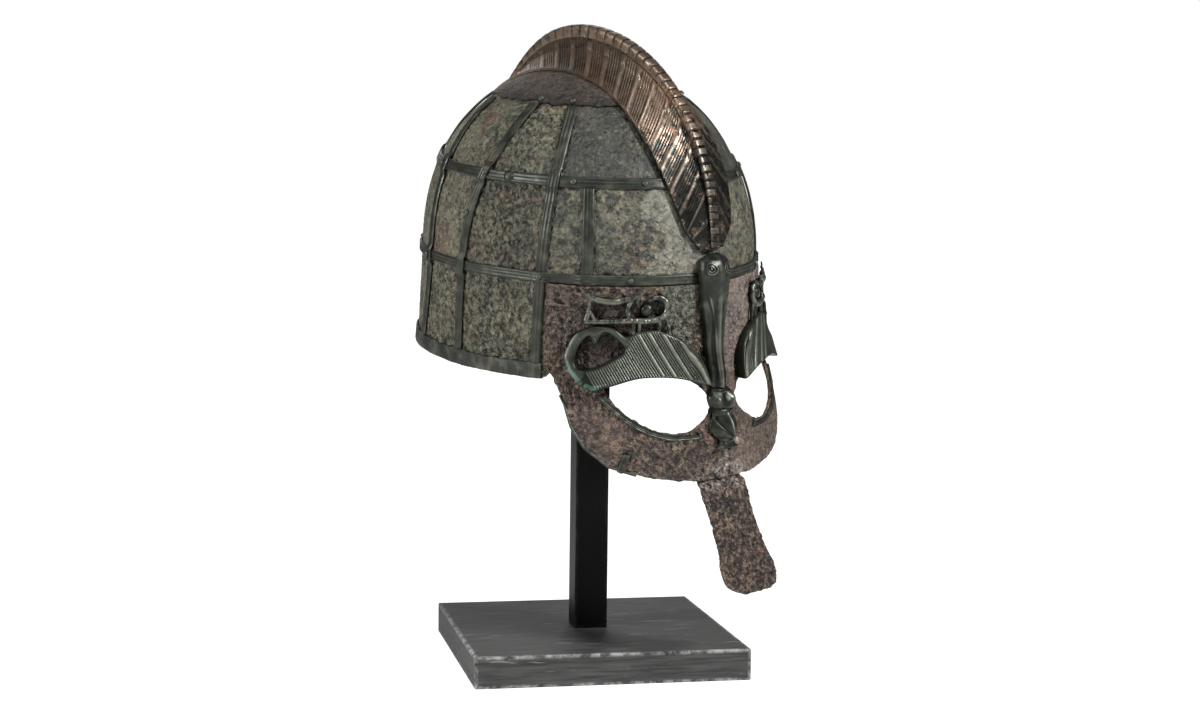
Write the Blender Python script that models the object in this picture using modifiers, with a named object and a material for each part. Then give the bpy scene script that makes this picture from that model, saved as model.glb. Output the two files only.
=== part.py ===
"""A ridged Norse helmet of iron and cast bronze, tilted on a square post and base.

The helmet is worked out in its own frame: the origin is the middle of the brow hoop, -Y is the
front, +X is the wearer's left and +Z is up. An empty then sets it on the post, turned and tilted.
Lengths are in metres. Angles round the helmet run from the front towards the wearer's right.
"""

import math

import bmesh
import bpy
from mathutils import Euler, Vector

# Clearance between pieces that touch, and the distance under which two vertices are one
GAP = 0.0003
WELD = 0.00002

# Bowl: a dome over the brow hoop and a nearly upright wall under it
BOWL_HALF_LENGTH = 0.116
BOWL_HALF_WIDTH = 0.100
CROWN_HEIGHT = 0.1175
DOME_FULLNESS = 2.12
RIM_DROP = 0.0615
FRONT_RIM_DROP = 0.0545
RIM_SPREAD = 0.026
BOWL_WALL = 0.0022
BOWL_SIDES = 40
DOME_STEPS = 5
CROWN_STEPS = 4

# Bronze framing: hoops, uprights, crown plate, rim binding and rivets
HOOP_WIDTH = 0.0062
UPRIGHT_WIDTH = 0.0068
STRIP_WALL = 0.0012
UPPER_HOOP_RISE = 0.0568
CROWN_PLATE_RISE = 0.099
BINDING_WALL = 0.0010
BINDING_HEIGHT = 0.0085
BINDING_END_ANGLE = 60.0
RIVET_RADIUS = 0.0019
RIVET_RISE = 0.0012

# Uprights: the angle at the crown plate, at both hoops and at the rim, and whether one passes
# over the brow hoop
UPRIGHTS = [
    {"name": "front", "crown": 55.6, "upper": 58.6, "hoop": 61.2, "rim": 62.2, "over": False},
    {"name": "side", "crown": 79.0, "upper": 87.3, "hoop": 91.8, "rim": 92.0, "over": True},
    {"name": "rear_side", "crown": 119.0, "upper": 114.2, "hoop": 112.4, "rim": 116.5, "over": True},
    {"name": "rear", "crown": 147.0, "upper": 146.0, "hoop": 145.0, "rim": 147.0, "over": False},
]
SHORT_UPRIGHT_ANGLE = 46.0
STEP_FLAT = 0.0040
STEP_END = 0.0062

# Rivets on each side: angle, rise as a share of the upper hoop's rise, and strips under the head
RIVETS = [
    {"angle": 61.3, "rise": 0.00, "layers": 2},
    {"angle": 32.0, "rise": 0.00, "layers": 1},
    {"angle": 112.5, "rise": 0.00, "layers": 2},
    {"angle": 91.0, "rise": 0.57, "layers": 1},
    {"angle": 86.4, "rise": 1.00, "layers": 2},
    {"angle": 76.0, "rise": 1.00, "layers": 1},
    {"angle": 51.5, "rise": 1.00, "layers": 1},
    {"angle": 25.5, "rise": 1.00, "layers": 1},
    {"angle": 115.2, "rise": 1.00, "layers": 2},
    {"angle": 76.0, "rise": 1.77, "layers": 1},
    {"angle": 56.0, "rise": 1.77, "layers": 1},
]

# Crest over the crown: angle above the front level line, height and half width as shares
RIDGE_TURN = -2.1
CREST_HEIGHT = 0.0250
CREST_HALF_WIDTH = 0.0258
CREST_BAND_WIDTH = 0.0086
CREST_BAND_SHARE = 0.36
CREST_WEB_SHARE = 0.72
CREST_EDGE = 0.0011
CREST_HOLLOW = 1.9
CREST_FLANK = (0.3, 0.6, 0.85, 1.0)
CREST_FLUTES = 22
CREST_FLUTE_DEPTH = 0.0005
CREST_SLANT = 7.0
CREST_FADE = 20.0
CREST_SECTIONS = [
    {"angle": 8.6, "height": 0.23, "width": 0.56},
    {"angle": 16.0, "height": 0.26, "width": 0.70},
    {"angle": 25.0, "height": 0.36, "width": 0.84},
    {"angle": 37.0, "height": 0.47, "width": 0.94},
    {"angle": 50.0, "height": 0.60, "width": 1.02},
    {"angle": 66.0, "height": 0.78, "width": 1.00},
    {"angle": 81.0, "height": 0.93, "width": 0.98},
    {"angle": 94.0, "height": 1.00, "width": 0.98},
    {"angle": 106.0, "height": 0.90, "width": 0.98},
    {"angle": 115.0, "height": 0.71, "width": 0.98},
    {"angle": 125.0, "height": 0.46, "width": 0.97},
    {"angle": 140.0, "height": 0.28, "width": 0.92},
    {"angle": 158.0, "height": 0.20, "width": 0.80},
    {"angle": 173.0, "height": 0.14, "width": 0.58},
]

# Visor: the spectacle plate over the front of the bowl. Its outline and eye openings are shares
# of its half angle and height, and of the opening's span and height from its inner upper corner
VISOR_WALL = 0.0024
VISOR_HALF_ANGLE = 59.0
VISOR_HEIGHT = 0.1226
VISOR_FLARE = 0.0113
FLARE_START = 0.040
FLARE_END = 0.104
VISOR_SLICE = 0.016
VISOR_OUTLINE = [
    {"round": 1.000, "down": 0.25},
    {"round": 1.000, "down": 0.43},
    {"round": 0.935, "down": 0.50},
    {"round": 0.870, "down": 0.61},
    {"round": 0.830, "down": 0.715},
    {"round": 0.757, "down": 0.82},
    {"round": 0.650, "down": 0.902},
    {"round": 0.497, "down": 0.953},
    {"round": 0.334, "down": 0.981},
]
EYE_START = 5.6
EYE_SPAN = 34.3
EYE_DROP = 0.0568
EYE_HEIGHT = 0.0352
EYE_OUTLINE = [
    {"round": 1.00, "down": 0.17},
    {"round": 0.97, "down": 0.33},
    {"round": 0.87, "down": 0.56},
    {"round": 0.69, "down": 0.80},
    {"round": 0.51, "down": 0.95},
    {"round": 0.36, "down": 1.00},
    {"round": 0.21, "down": 0.94},
    {"round": 0.06, "down": 0.75},
    {"round": 0.00, "down": 0.55},
    {"round": 0.03, "down": 0.38},
    {"round": 0.13, "down": 0.20},
    {"round": 0.25, "down": 0.09},
    {"round": 0.42, "down": 0.01},
    {"round": 0.70, "down": 0.00},
    {"round": 0.90, "down": 0.07},
]
EDGING_WALL = 0.0011
EDGING_WIDTH = 0.0028
EDGING_INSET = 0.0024

# Nasal: the flat bar that hangs from the visor, with its tongue behind it
NASAL_LENGTH = 0.0640
NASAL_WIDTH = 0.0388
NASAL_WALL = 0.0032
NASAL_FLARE = 0.0340
NASAL_CURVE = 1.15
NASAL_TONGUE = 0.0100
NASAL_TONGUE_SHARE = 0.92
NASAL_SECTIONS = [
    {"down": 0.08, "width": 1.00},
    {"down": 0.30, "width": 0.95},
    {"down": 0.50, "width": 0.96},
    {"down": 0.68, "width": 1.04},
    {"down": 0.80, "width": 1.14},
    {"down": 0.90, "width": 1.13},
    {"down": 0.96, "width": 0.96},
    {"down": 1.00, "width": 0.62},
]

# Brows with their kidney-shaped loops, as shares of the span and height from the outer upper corner
BROW_START = 7.0
BROW_SPAN = 44.9
BROW_DROP = 0.0226
BROW_HEIGHT = 0.0415
BROW_WALL = 0.0022
BROW_EAVE = 0.0062
BROW_OUTLINE = [
    {"round": 1.00, "down": 0.61},
    {"round": 0.98, "down": 0.39},
    {"round": 0.93, "down": 0.21},
    {"round": 0.84, "down": 0.12},
    {"round": 0.74, "down": 0.10},
    {"round": 0.66, "down": 0.14},
    {"round": 0.59, "down": 0.24},
    {"round": 0.51, "down": 0.18},
    {"round": 0.38, "down": 0.16},
    {"round": 0.27, "down": 0.24},
    {"round": 0.16, "down": 0.36},
    {"round": 0.05, "down": 0.60},
    {"round": 0.00, "down": 0.93},
    {"round": 0.02, "down": 0.99},
    {"round": 0.15, "down": 0.90},
    {"round": 0.31, "down": 0.835},
    {"round": 0.51, "down": 0.835},
    {"round": 0.70, "down": 0.95},
    {"round": 0.82, "down": 1.00},
    {"round": 0.92, "down": 0.87},
]
BROW_LOOP = [
    {"round": 0.925, "down": 0.61},
    {"round": 0.905, "down": 0.41},
    {"round": 0.840, "down": 0.25},
    {"round": 0.800, "down": 0.36},
    {"round": 0.735, "down": 0.19},
    {"round": 0.655, "down": 0.28},
    {"round": 0.600, "down": 0.44},
    {"round": 0.675, "down": 0.56},
    {"round": 0.765, "down": 0.67},
    {"round": 0.850, "down": 0.73},
    {"round": 0.905, "down": 0.70},
]

# Pierced mounts between the brows and the brow hoop, as shares in the same way
MOUNT_START = 19.2
MOUNT_SPAN = 29.3
MOUNT_DROP = 0.0052
MOUNT_HEIGHT = 0.0200
MOUNT_WALL = 0.0024
MOUNT_OUTLINE = [
    {"round": 1.00, "down": 0.00},
    {"round": 0.85, "down": 0.20},
    {"round": 0.70, "down": 0.29},
    {"round": 0.54, "down": 0.26},
    {"round": 0.40, "down": 0.14},
    {"round": 0.28, "down": 0.05},
    {"round": 0.17, "down": 0.02},
    {"round": 0.06, "down": 0.14},
    {"round": 0.00, "down": 0.42},
    {"round": 0.04, "down": 0.72},
    {"round": 0.16, "down": 0.92},
    {"round": 0.34, "down": 0.98},
    {"round": 0.62, "down": 0.98},
    {"round": 0.93, "down": 0.93},
    {"round": 0.90, "down": 0.62},
    {"round": 0.87, "down": 0.36},
    {"round": 0.93, "down": 0.16},
]
MOUNT_OPENINGS = [
    [
        {"round": 0.82, "down": 0.36},
        {"round": 0.67, "down": 0.46},
        {"round": 0.53, "down": 0.42},
        {"round": 0.45, "down": 0.34},
        {"round": 0.45, "down": 0.66},
        {"round": 0.58, "down": 0.79},
        {"round": 0.80, "down": 0.78},
        {"round": 0.84, "down": 0.56},
    ],
    [
        {"round": 0.37, "down": 0.30},
        {"round": 0.31, "down": 0.20},
        {"round": 0.29, "down": 0.36},
        {"round": 0.32, "down": 0.52},
        {"round": 0.29, "down": 0.70},
        {"round": 0.35, "down": 0.76},
        {"round": 0.39, "down": 0.52},
    ],
    [
        {"round": 0.19, "down": 0.17},
        {"round": 0.11, "down": 0.24},
        {"round": 0.07, "down": 0.46},
        {"round": 0.11, "down": 0.70},
        {"round": 0.19, "down": 0.77},
        {"round": 0.16, "down": 0.60},
        {"round": 0.17, "down": 0.36},
    ],
]

# Beast head that ends the crest, and the nose mount under it: sections down each one
HEAD_TOP_RISE = 0.0150
HEAD_LENGTH = 0.0810
HEAD_WIDTH = 0.0220
HEAD_DEPTH = 0.0085
HEAD_SECTIONS = [
    {"down": 0.00, "width": 0.60, "depth": 0.40},
    {"down": 0.04, "width": 0.86, "depth": 0.74},
    {"down": 0.10, "width": 1.00, "depth": 0.97},
    {"down": 0.24, "width": 0.98, "depth": 1.00},
    {"down": 0.37, "width": 0.90, "depth": 0.86},
    {"down": 0.50, "width": 0.76, "depth": 0.76},
    {"down": 0.62, "width": 0.67, "depth": 0.70},
    {"down": 0.78, "width": 0.61, "depth": 0.68},
    {"down": 0.93, "width": 0.60, "depth": 0.72},
    {"down": 1.00, "width": 0.54, "depth": 0.66},
]
NOSE_LENGTH = 0.0370
NOSE_WIDTH = 0.0225
NOSE_DEPTH = 0.0090
NOSE_SECTIONS = [
    {"down": 0.00, "width": 0.58, "depth": 0.60},
    {"down": 0.13, "width": 0.90, "depth": 0.80},
    {"down": 0.27, "width": 0.88, "depth": 0.80},
    {"down": 0.42, "width": 0.66, "depth": 0.70},
    {"down": 0.53, "width": 0.88, "depth": 0.90},
    {"down": 0.66, "width": 1.00, "depth": 1.00},
    {"down": 0.78, "width": 0.72, "depth": 0.94},
    {"down": 0.87, "width": 0.46, "depth": 0.56},
    {"down": 1.00, "width": 0.82, "depth": 0.50},
]

# Stand, and how the helmet sits on it
BASE_WIDTH = 0.175
BASE_HEIGHT = 0.020
BASE_CHAMFER = 0.0008
POST_WIDTH = 0.0215
PAD_RINGS = 3
PAD_DEPTH = 0.010
STAND_TURN = -30.65
HOOP_HEIGHT = 0.2668
HELMET_SHIFT = (-0.003, 0.002)
NOD = 6.2
LEAN = -4.9

# Distance from the bowl's outer face to the first layer, and to what lies over a strip
SKIN = GAP
OVER_STRIP = GAP + STRIP_WALL + GAP

# Plates are laid out flat first, in metres round the brow hoop at this radius
FLAT_RADIUS = (BOWL_HALF_LENGTH + BOWL_HALF_WIDTH) / 2
BOWL_CHORD = 2 * math.pi * FLAT_RADIUS / BOWL_SIDES
VISOR_TOP_DROP = HOOP_WIDTH / 2 + GAP

COLOURS = {
    "bowl_iron": {"colour": (0.105, 0.098, 0.080), "roughness": 0.85, "metallic": 0.25},
    "visor_iron": {"colour": (0.120, 0.080, 0.062), "roughness": 0.90, "metallic": 0.20},
    "strip_bronze": {"colour": (0.080, 0.090, 0.070), "roughness": 0.55, "metallic": 0.65},
    "cast_bronze": {"colour": (0.070, 0.075, 0.060), "roughness": 0.40, "metallic": 0.80},
    "crest_bronze": {"colour": (0.160, 0.130, 0.100), "roughness": 0.40, "metallic": 0.85},
    "black_wood": {"colour": (0.030, 0.029, 0.028), "roughness": 0.65, "metallic": 0.0},
}


def clear_scene():
    for old in list(bpy.data.objects):
        bpy.data.objects.remove(old)


def make_collection():
    made = bpy.data.collections.new("norse_helmet_on_stand")
    bpy.context.scene.collection.children.link(made)
    return made


def make_material(name, look):
    material = bpy.data.materials.new(name)
    material.use_nodes = True
    shader = material.node_tree.nodes["Principled BSDF"]
    shader.inputs["Base Color"].default_value = (*look["colour"], 1.0)
    shader.inputs["Roughness"].default_value = look["roughness"]
    shader.inputs["Metallic"].default_value = look["metallic"]
    return material


def make_helmet_frame():
    """The empty that carries every piece of the helmet, turned as the helmet sits on its post."""
    empty = bpy.data.objects.new("helmet_frame", None)
    collection.objects.link(empty)
    empty.location = (*HELMET_SHIFT, HOOP_HEIGHT)
    empty.rotation_euler = Euler((math.radians(NOD), math.radians(LEAN), 0.0), "XYZ")
    return empty


def add_object(name, data, material, parent):
    obj = bpy.data.objects.new(name, data)
    data.materials.clear()
    data.materials.append(materials[material])
    collection.objects.link(obj)
    obj.parent = parent
    return obj


def add_from_bmesh(name, bm, material, parent, smooth_angle=35.0):
    """Turns a closed bmesh into a named piece, with faces outward and soft edges shaded smooth."""
    bmesh.ops.recalc_face_normals(bm, faces=bm.faces)
    if bm.calc_volume(signed=True) < 0:
        bmesh.ops.reverse_faces(bm, faces=bm.faces)
    data = bpy.data.meshes.new(name)
    bm.to_mesh(data)
    bm.free()
    data.shade_smooth()
    data.set_sharp_from_angle(angle=math.radians(smooth_angle))
    return add_object(name, data, material, parent)


def blend(low, high, share):
    return low + (high - low) * share


def soft_step(share):
    share = min(1.0, max(0.0, share))
    return share * share * (3 - 2 * share)


def read_table(rows, key, column, place):
    """A column of a table at one place of its key, on a smooth curve through the rows."""
    places = [row[key] for row in rows]
    values = [row[column] for row in rows]
    place = min(max(place, places[0]), places[-1])
    i = max(k for k in range(len(rows) - 1) if places[k] <= place)
    step = places[i + 1] - places[i]
    slopes = []
    for k in (i, i + 1):
        before = max(k - 1, 0)
        after = min(k + 1, len(rows) - 1)
        slopes.append((values[after] - values[before]) / (places[after] - places[before]))
    t = (place - places[i]) / step
    start = values[i] * (2 * t**3 - 3 * t**2 + 1) + slopes[0] * step * (t**3 - 2 * t**2 + t)
    end = values[i + 1] * (3 * t**2 - 2 * t**3) + slopes[1] * step * (t**3 - t**2)
    return start + end


# The bowl's outer face, which every plate and strip follows


def shell_share(z):
    """The bowl's radius at height z, as a share of its radius at the brow hoop."""
    if z <= 0:
        return 1.0 - RIM_SPREAD * z / RIM_DROP
    rise = min(1.0, z / CROWN_HEIGHT)
    return (1.0 - rise**DOME_FULLNESS) ** (1.0 / DOME_FULLNESS)


def shell_normal(x, y, z):
    ring = math.hypot(x / BOWL_HALF_WIDTH, y / BOWL_HALF_LENGTH)
    normal = Vector((x / BOWL_HALF_WIDTH**2, y / BOWL_HALF_LENGTH**2, 0.0)) / max(ring, 1e-6)
    if z > 0:
        normal *= ring ** (DOME_FULLNESS - 1)
        normal.z = min(1.0, z / CROWN_HEIGHT) ** (DOME_FULLNESS - 1) / CROWN_HEIGHT
    return normal.normalized()


def shell_point(angle, z, offset=0.0):
    """The point at an angle in degrees and a height, moved outward by offset."""
    turn = math.radians(angle)
    x = -BOWL_HALF_WIDTH * shell_share(z) * math.sin(turn)
    y = -BOWL_HALF_LENGTH * shell_share(z) * math.cos(turn)
    return Vector((x, y, z)) + shell_normal(x, y, z) * offset


def degrees_across(angle, z, width):
    """The angle that a width in metres spans round the bowl at that place."""
    turn = math.radians(angle)
    reach = math.hypot(BOWL_HALF_WIDTH * math.cos(turn), BOWL_HALF_LENGTH * math.sin(turn))
    return math.degrees(width / (reach * shell_share(z)))


def bowl_angles(first, last):
    """The first and last angle with every corner of the faceted bowl between them."""
    corners = [360.0 * k / BOWL_SIDES for k in range(-BOWL_SIDES, 2 * BOWL_SIDES)]
    return [first] + [angle for angle in corners if first + 1 < angle < last - 1] + [last]


def dome_heights(first, last, steps):
    """Heights from first to last up the dome, closer together towards the crown."""
    turns = [math.asin((z / CROWN_HEIGHT) ** (DOME_FULLNESS / 2)) for z in (first, last)]
    rises = [math.sin(blend(*turns, k / steps)) for k in range(steps + 1)]
    return [CROWN_HEIGHT * rise ** (2 / DOME_FULLNESS) for rise in rises]


def bowl_rings():
    """The heights of the faceted bowl's rings, from the crown down to the brow hoop."""
    crown = dome_heights(CROWN_PLATE_RISE, CROWN_HEIGHT, CROWN_STEPS)[::-1]
    return crown + dome_heights(0.0, CROWN_PLATE_RISE, DOME_STEPS)[:-1][::-1]


# Ways of making a piece


def loft(name, sections, material, parent, ring=False):
    """A solid through sections with the same number of points, closed as a ring or by its ends."""
    bm = bmesh.new()
    loops = [[bm.verts.new(point) for point in section] for section in sections]
    pairs = list(zip(loops, loops[1:]))
    if ring:
        pairs.append((loops[-1], loops[0]))
    else:
        bm.faces.new(loops[0])
        bm.faces.new(loops[-1])
    for low, high in pairs:
        for i in range(len(low)):
            j = (i + 1) % len(low)
            bm.faces.new((low[i], low[j], high[j], high[i]))
    bmesh.ops.triangulate(bm, faces=[face for face in bm.faces if len(face.verts) > 4])
    return add_from_bmesh(name, bm, material, parent)


def turned_shell(name, heights, offset, wall, material):
    """A turned profile made oval, as a shell whose wall lies inside its outer face."""
    profile = bpy.data.meshes.new(name + "_profile")
    bm = bmesh.new()
    rounds = []
    for z in heights:
        point = shell_point(180.0, z, offset)
        rounds.append(bm.verts.new((max(point.y, 0.0), 0.0, point.z)))
    for high, low in zip(rounds, rounds[1:]):
        bm.edges.new((high, low))
    bm.to_mesh(profile)
    bm.free()
    turned = add_object(name + "_turned", profile, material, None)
    screw = turned.modifiers.new("turn", "SCREW")
    screw.steps = BOWL_SIDES
    screw.render_steps = BOWL_SIDES
    screw.use_merge_vertices = True
    screw.merge_threshold = 0.0001
    shape = turned.evaluated_get(bpy.context.evaluated_depsgraph_get())
    data = bpy.data.meshes.new_from_object(shape)
    bpy.data.objects.remove(turned)
    for vert in data.vertices:
        vert.co.x *= (BOWL_HALF_WIDTH + offset) / (BOWL_HALF_LENGTH + offset)
    data.shade_smooth()
    shell = add_object(name, data, material, helmet_frame)
    solid = shell.modifiers.new("wall", "SOLIDIFY")
    solid.thickness = wall
    solid.offset = -1.0
    solid.use_even_offset = True
    return shell


def smooth_loop(points, steps):
    """A closed curve through the points, with steps points on each stretch."""
    made = []
    for i in range(len(points)):
        before, start, end, after = (Vector(points[(i + k) % len(points)]) for k in (-1, 0, 1, 2))
        for step in range(steps):
            t = step / steps
            bend = 2 * before - 5 * start + 4 * end - after
            twist = 3 * start - before - 3 * end + after
            made.append(0.5 * (2 * start + (end - before) * t + bend * t**2 + twist * t**3))
    return made


def flat_loop(rows, side, start, span, drop, height):
    """An outline's rows as points of the flat plate, on the wearer's right (1) or left (-1)."""
    reach = math.radians(span) * FLAT_RADIUS
    first = math.radians(start) * FLAT_RADIUS
    return [(side * (first + reach * row["round"]), -drop - height * row["down"]) for row in rows]


def flat_plate(name, loops, wall):
    """A plate of that thickness from a filled outline, whose further loops are its openings."""
    curve = bpy.data.curves.new(name + "_outline", "CURVE")
    curve.dimensions = "2D"
    curve.fill_mode = "BOTH"
    curve.extrude = wall / 2
    for loop in loops:
        spline = curve.splines.new("POLY")
        spline.points.add(len(loop) - 1)
        spline.use_cyclic_u = True
        for point, place in zip(spline.points, loop):
            point.co = (place[0], place[1], 0.0, 1.0)
    flat = bpy.data.objects.new(name + "_flat", curve)
    collection.objects.link(flat)
    shape = flat.evaluated_get(bpy.context.evaluated_depsgraph_get())
    data = bpy.data.meshes.new_from_object(shape)
    bpy.data.objects.remove(flat)
    return data


def is_fill(edge, across, down):
    """Whether an edge only fills a flat face, and is no slice or outline."""
    if len(edge.link_faces) != 2 or any(abs(face.normal.z) < 0.5 for face in edge.link_faces):
        return False
    for axis, width in ((0, across), (1, down)):
        places = [vert.co[axis] / width for vert in edge.verts]
        if all(abs(place - round(places[0])) * width < 2 * WELD for place in places):
            return False
    return True


def bent_plate(name, loops, wall, across, down, offset, material, one_opening_a_slice=True):
    """A flat plate sliced every few millimetres and bent round the bowl.

    across and down are the widths of the slices. offset(u, v, share) is the distance from the
    bowl, where share runs from 0 on the inner face to 1 on the outer one. Where no opening lies
    whole inside a slice, the edges that only fill a flat face are taken out.
    """
    data = flat_plate(name, loops, wall)
    bm = bmesh.new()
    bm.from_mesh(data)
    bpy.data.meshes.remove(data)
    bmesh.ops.remove_doubles(bm, verts=bm.verts, dist=WELD)
    for axis, width in ((0, across), (1, down)):
        places = [vert.co[axis] for vert in bm.verts]
        direction = Vector((1 - axis, axis, 0.0))
        for k in range(math.ceil(min(places) / width), math.floor(max(places) / width) + 1):
            everything = bm.verts[:] + bm.edges[:] + bm.faces[:]
            cut = direction * (k * width)
            bmesh.ops.bisect_plane(bm, geom=everything, dist=WELD, plane_co=cut, plane_no=direction)
    if one_opening_a_slice:
        inner = [edge for edge in bm.edges if is_fill(edge, across, down)]
        bmesh.ops.dissolve_edges(bm, edges=inner, use_verts=True)
    for vert in bm.verts:
        u, v = vert.co.x, vert.co.y
        away = offset(u, v, vert.co.z / wall + 0.5)
        vert.co = shell_point(math.degrees(u / FLAT_RADIUS), v, away)
    bmesh.ops.triangulate(bm, faces=bm.faces)
    return add_from_bmesh(name, bm, material, helmet_frame, 40.0)


# Bowl and framing

STRIP_SECTION = [(-0.5, 0.0), (0.5, 0.0), (0.5, 0.75), (0.0, 1.0), (-0.5, 0.75)]


def step_over(distance):
    """How far a strip has stepped over the strip it crosses, from 0 to 1."""
    return 1.0 if distance <= STEP_FLAT else max(0.0, (STEP_END - distance) / (STEP_END - STEP_FLAT))


def strip_offset(steps):
    return SKIN + (STRIP_WALL + GAP) * max([0.0, *steps])


def upright_angle(row, z):
    line = [
        {"z": -RIM_DROP, "angle": row["rim"]},
        {"z": 0.0, "angle": row["hoop"]},
        {"z": UPPER_HOOP_RISE, "angle": row["upper"]},
        {"z": CROWN_PLATE_RISE, "angle": row["crown"]},
    ]
    return read_table(line, "z", "angle", z)


def make_bowl():
    """The iron bowl. Its rim is higher behind the visor, so that it stays clear of the eyes."""
    heights = bowl_rings() + [-RIM_DROP * share for share in (0.35, 0.70, 1.0)]
    bowl = turned_shell("bowl", heights, 0.0, BOWL_WALL, "bowl_iron")
    for vert in bowl.data.vertices:
        angle = math.degrees(math.atan2(abs(vert.co.x), -vert.co.y))
        if vert.co.z < -RIM_DROP * 0.9 and angle < BINDING_END_ANGLE - 5:
            vert.co.z = -FRONT_RIM_DROP


def make_crown_plate():
    heights = [z for z in bowl_rings() if z > CROWN_PLATE_RISE - WELD]
    turned_shell("crown_plate", heights, SKIN + STRIP_WALL, STRIP_WALL, "bowl_iron")


def make_upper_hoop():
    sections = []
    for k in range(BOWL_SIDES):
        angle = 360.0 * k / BOWL_SIDES
        section = []
        for across, up in STRIP_SECTION:
            z = UPPER_HOOP_RISE + across * HOOP_WIDTH
            section.append(shell_point(angle, z, SKIN + up * STRIP_WALL))
        sections.append(section)
    loft("upper_hoop", sections, "strip_bronze", helmet_frame, ring=True)


def make_lower_hoop():
    """The brow hoop, which steps over the uprights that run under it."""
    crossed = [row["hoop"] for row in UPRIGHTS if not row["over"]] + [SHORT_UPRIGHT_ANGLE]
    crossed += [360.0 - angle for angle in crossed]
    angles = {360.0 * k / BOWL_SIDES for k in range(BOWL_SIDES)}
    for centre in crossed:
        for distance in (STEP_FLAT, STEP_END):
            span = degrees_across(centre, 0.0, distance)
            angles |= {centre - span, centre + span}
    sections = []
    for angle in sorted(angles):
        metres = [abs(angle - centre) / degrees_across(centre, 0.0, 1.0) for centre in crossed]
        away = strip_offset([step_over(distance) for distance in metres])
        section = []
        for across, up in STRIP_SECTION:
            section.append(shell_point(angle, across * HOOP_WIDTH, away + up * STRIP_WALL))
        sections.append(section)
    loft("lower_hoop", sections, "strip_bronze", helmet_frame, ring=True)


def make_strip(name, heights, angle_at, away_at):
    """An upright strip through the heights, at angle_at(z) and away_at(z) from the bowl."""
    sections = []
    for z in heights:
        section = []
        for across, up in STRIP_SECTION:
            angle = angle_at(z) + degrees_across(angle_at(z), z, across * UPRIGHT_WIDTH)
            section.append(shell_point(angle, z, away_at(z) + up * STRIP_WALL))
        sections.append(section)
    loft(name, sections, "strip_bronze", helmet_frame)


def crossing_heights(level):
    return [level + distance for distance in (STEP_END, STEP_FLAT, -STEP_FLAT, -STEP_END)]


def make_uprights():
    bottom = -RIM_DROP + BINDING_HEIGHT + GAP
    for row in UPRIGHTS:
        crossings = [UPPER_HOOP_RISE] + ([0.0] if row["over"] else [])
        top = CROWN_PLATE_RISE - GAP * 3
        heights = [top, bottom] + [z for z in bowl_rings() if z < top - STRIP_WALL]
        for level in crossings:
            heights += crossing_heights(level)
        heights = sorted(set(heights), reverse=True)
        for side, word in ((1, "right"), (-1, "left")):
            make_strip(
                f"upright_{row['name']}_{word}",
                heights,
                lambda z: side * upright_angle(row, z),
                lambda z: strip_offset([step_over(abs(z - level)) for level in crossings]),
            )


def make_short_uprights():
    """The short strips between the hoops, over the eyes."""
    top = UPPER_HOOP_RISE - HOOP_WIDTH / 2 - GAP
    heights = [top] + [z for z in bowl_rings() if z < top - STRIP_WALL] + [-HOOP_WIDTH / 2]
    for side, word in ((1, "right"), (-1, "left")):
        make_strip(
            f"upright_short_{word}", heights, lambda z: side * SHORT_UPRIGHT_ANGLE, lambda z: SKIN
        )


def make_rim_binding():
    """A bronze channel over the edge of the rim, round the sides and the back."""
    inner = -BOWL_WALL - GAP
    outer = GAP
    top = -RIM_DROP + BINDING_HEIGHT
    foot = -RIM_DROP - GAP
    sections = []
    for angle in bowl_angles(BINDING_END_ANGLE, 360.0 - BINDING_END_ANGLE):
        corners = [
            (foot - BINDING_WALL, outer + BINDING_WALL),
            (top, outer + BINDING_WALL),
            (top, outer),
            (foot, outer),
            (foot, inner),
            (top, inner),
            (top, inner - BINDING_WALL),
            (foot - BINDING_WALL, inner - BINDING_WALL),
        ]
        sections.append([shell_point(angle, z, away) for z, away in corners])
    loft("rim_binding", sections, "strip_bronze", helmet_frame)


def make_rivets():
    for side, word in ((1, "right"), (-1, "left")):
        for number, row in enumerate(RIVETS, 1):
            z = row["rise"] * UPPER_HOOP_RISE
            away = SKIN + row["layers"] * (STRIP_WALL + GAP)
            place = shell_point(side * row["angle"], z, away)
            turn = shell_normal(*shell_point(side * row["angle"], z)).to_track_quat("Z", "Y")
            bm = bmesh.new()
            bmesh.ops.create_uvsphere(bm, u_segments=8, v_segments=6, radius=RIVET_RADIUS)
            under = [vert for vert in bm.verts if vert.co.z < -WELD]
            bmesh.ops.delete(bm, geom=under, context="VERTS")
            rim = [edge for edge in bm.edges if edge.is_boundary]
            bmesh.ops.contextual_create(bm, geom=rim)
            for vert in bm.verts:
                vert.co.z *= RIVET_RISE / RIVET_RADIUS
                vert.co = place + turn @ vert.co
            add_from_bmesh(f"rivet_{word}_{number}", bm, "strip_bronze", helmet_frame)


# Crest


def ridge_turned(x, y):
    """A point laid out straight ahead, turned with the crest's own middle line."""
    turn = math.radians(RIDGE_TURN)
    return (x * math.cos(turn) - y * math.sin(turn), x * math.sin(turn) + y * math.cos(turn))


def crest_shell_point(angle, across, offset):
    """The bowl's outer face at a distance across the crest, at an angle over the front level line."""
    turn = math.radians(angle)
    low, high = 0.0, BOWL_HALF_LENGTH + CROWN_HEIGHT
    for _ in range(40):
        reach = (low + high) / 2
        x, y = ridge_turned(across, -reach * math.cos(turn))
        ring = math.hypot(x / BOWL_HALF_WIDTH, y / BOWL_HALF_LENGTH)
        rise = reach * math.sin(turn) / CROWN_HEIGHT
        if ring**DOME_FULLNESS + rise**DOME_FULLNESS > 1:
            high = reach
        else:
            low = reach
    point = Vector((x, y, reach * math.sin(turn)))
    return point + shell_normal(*point) * offset


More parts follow.
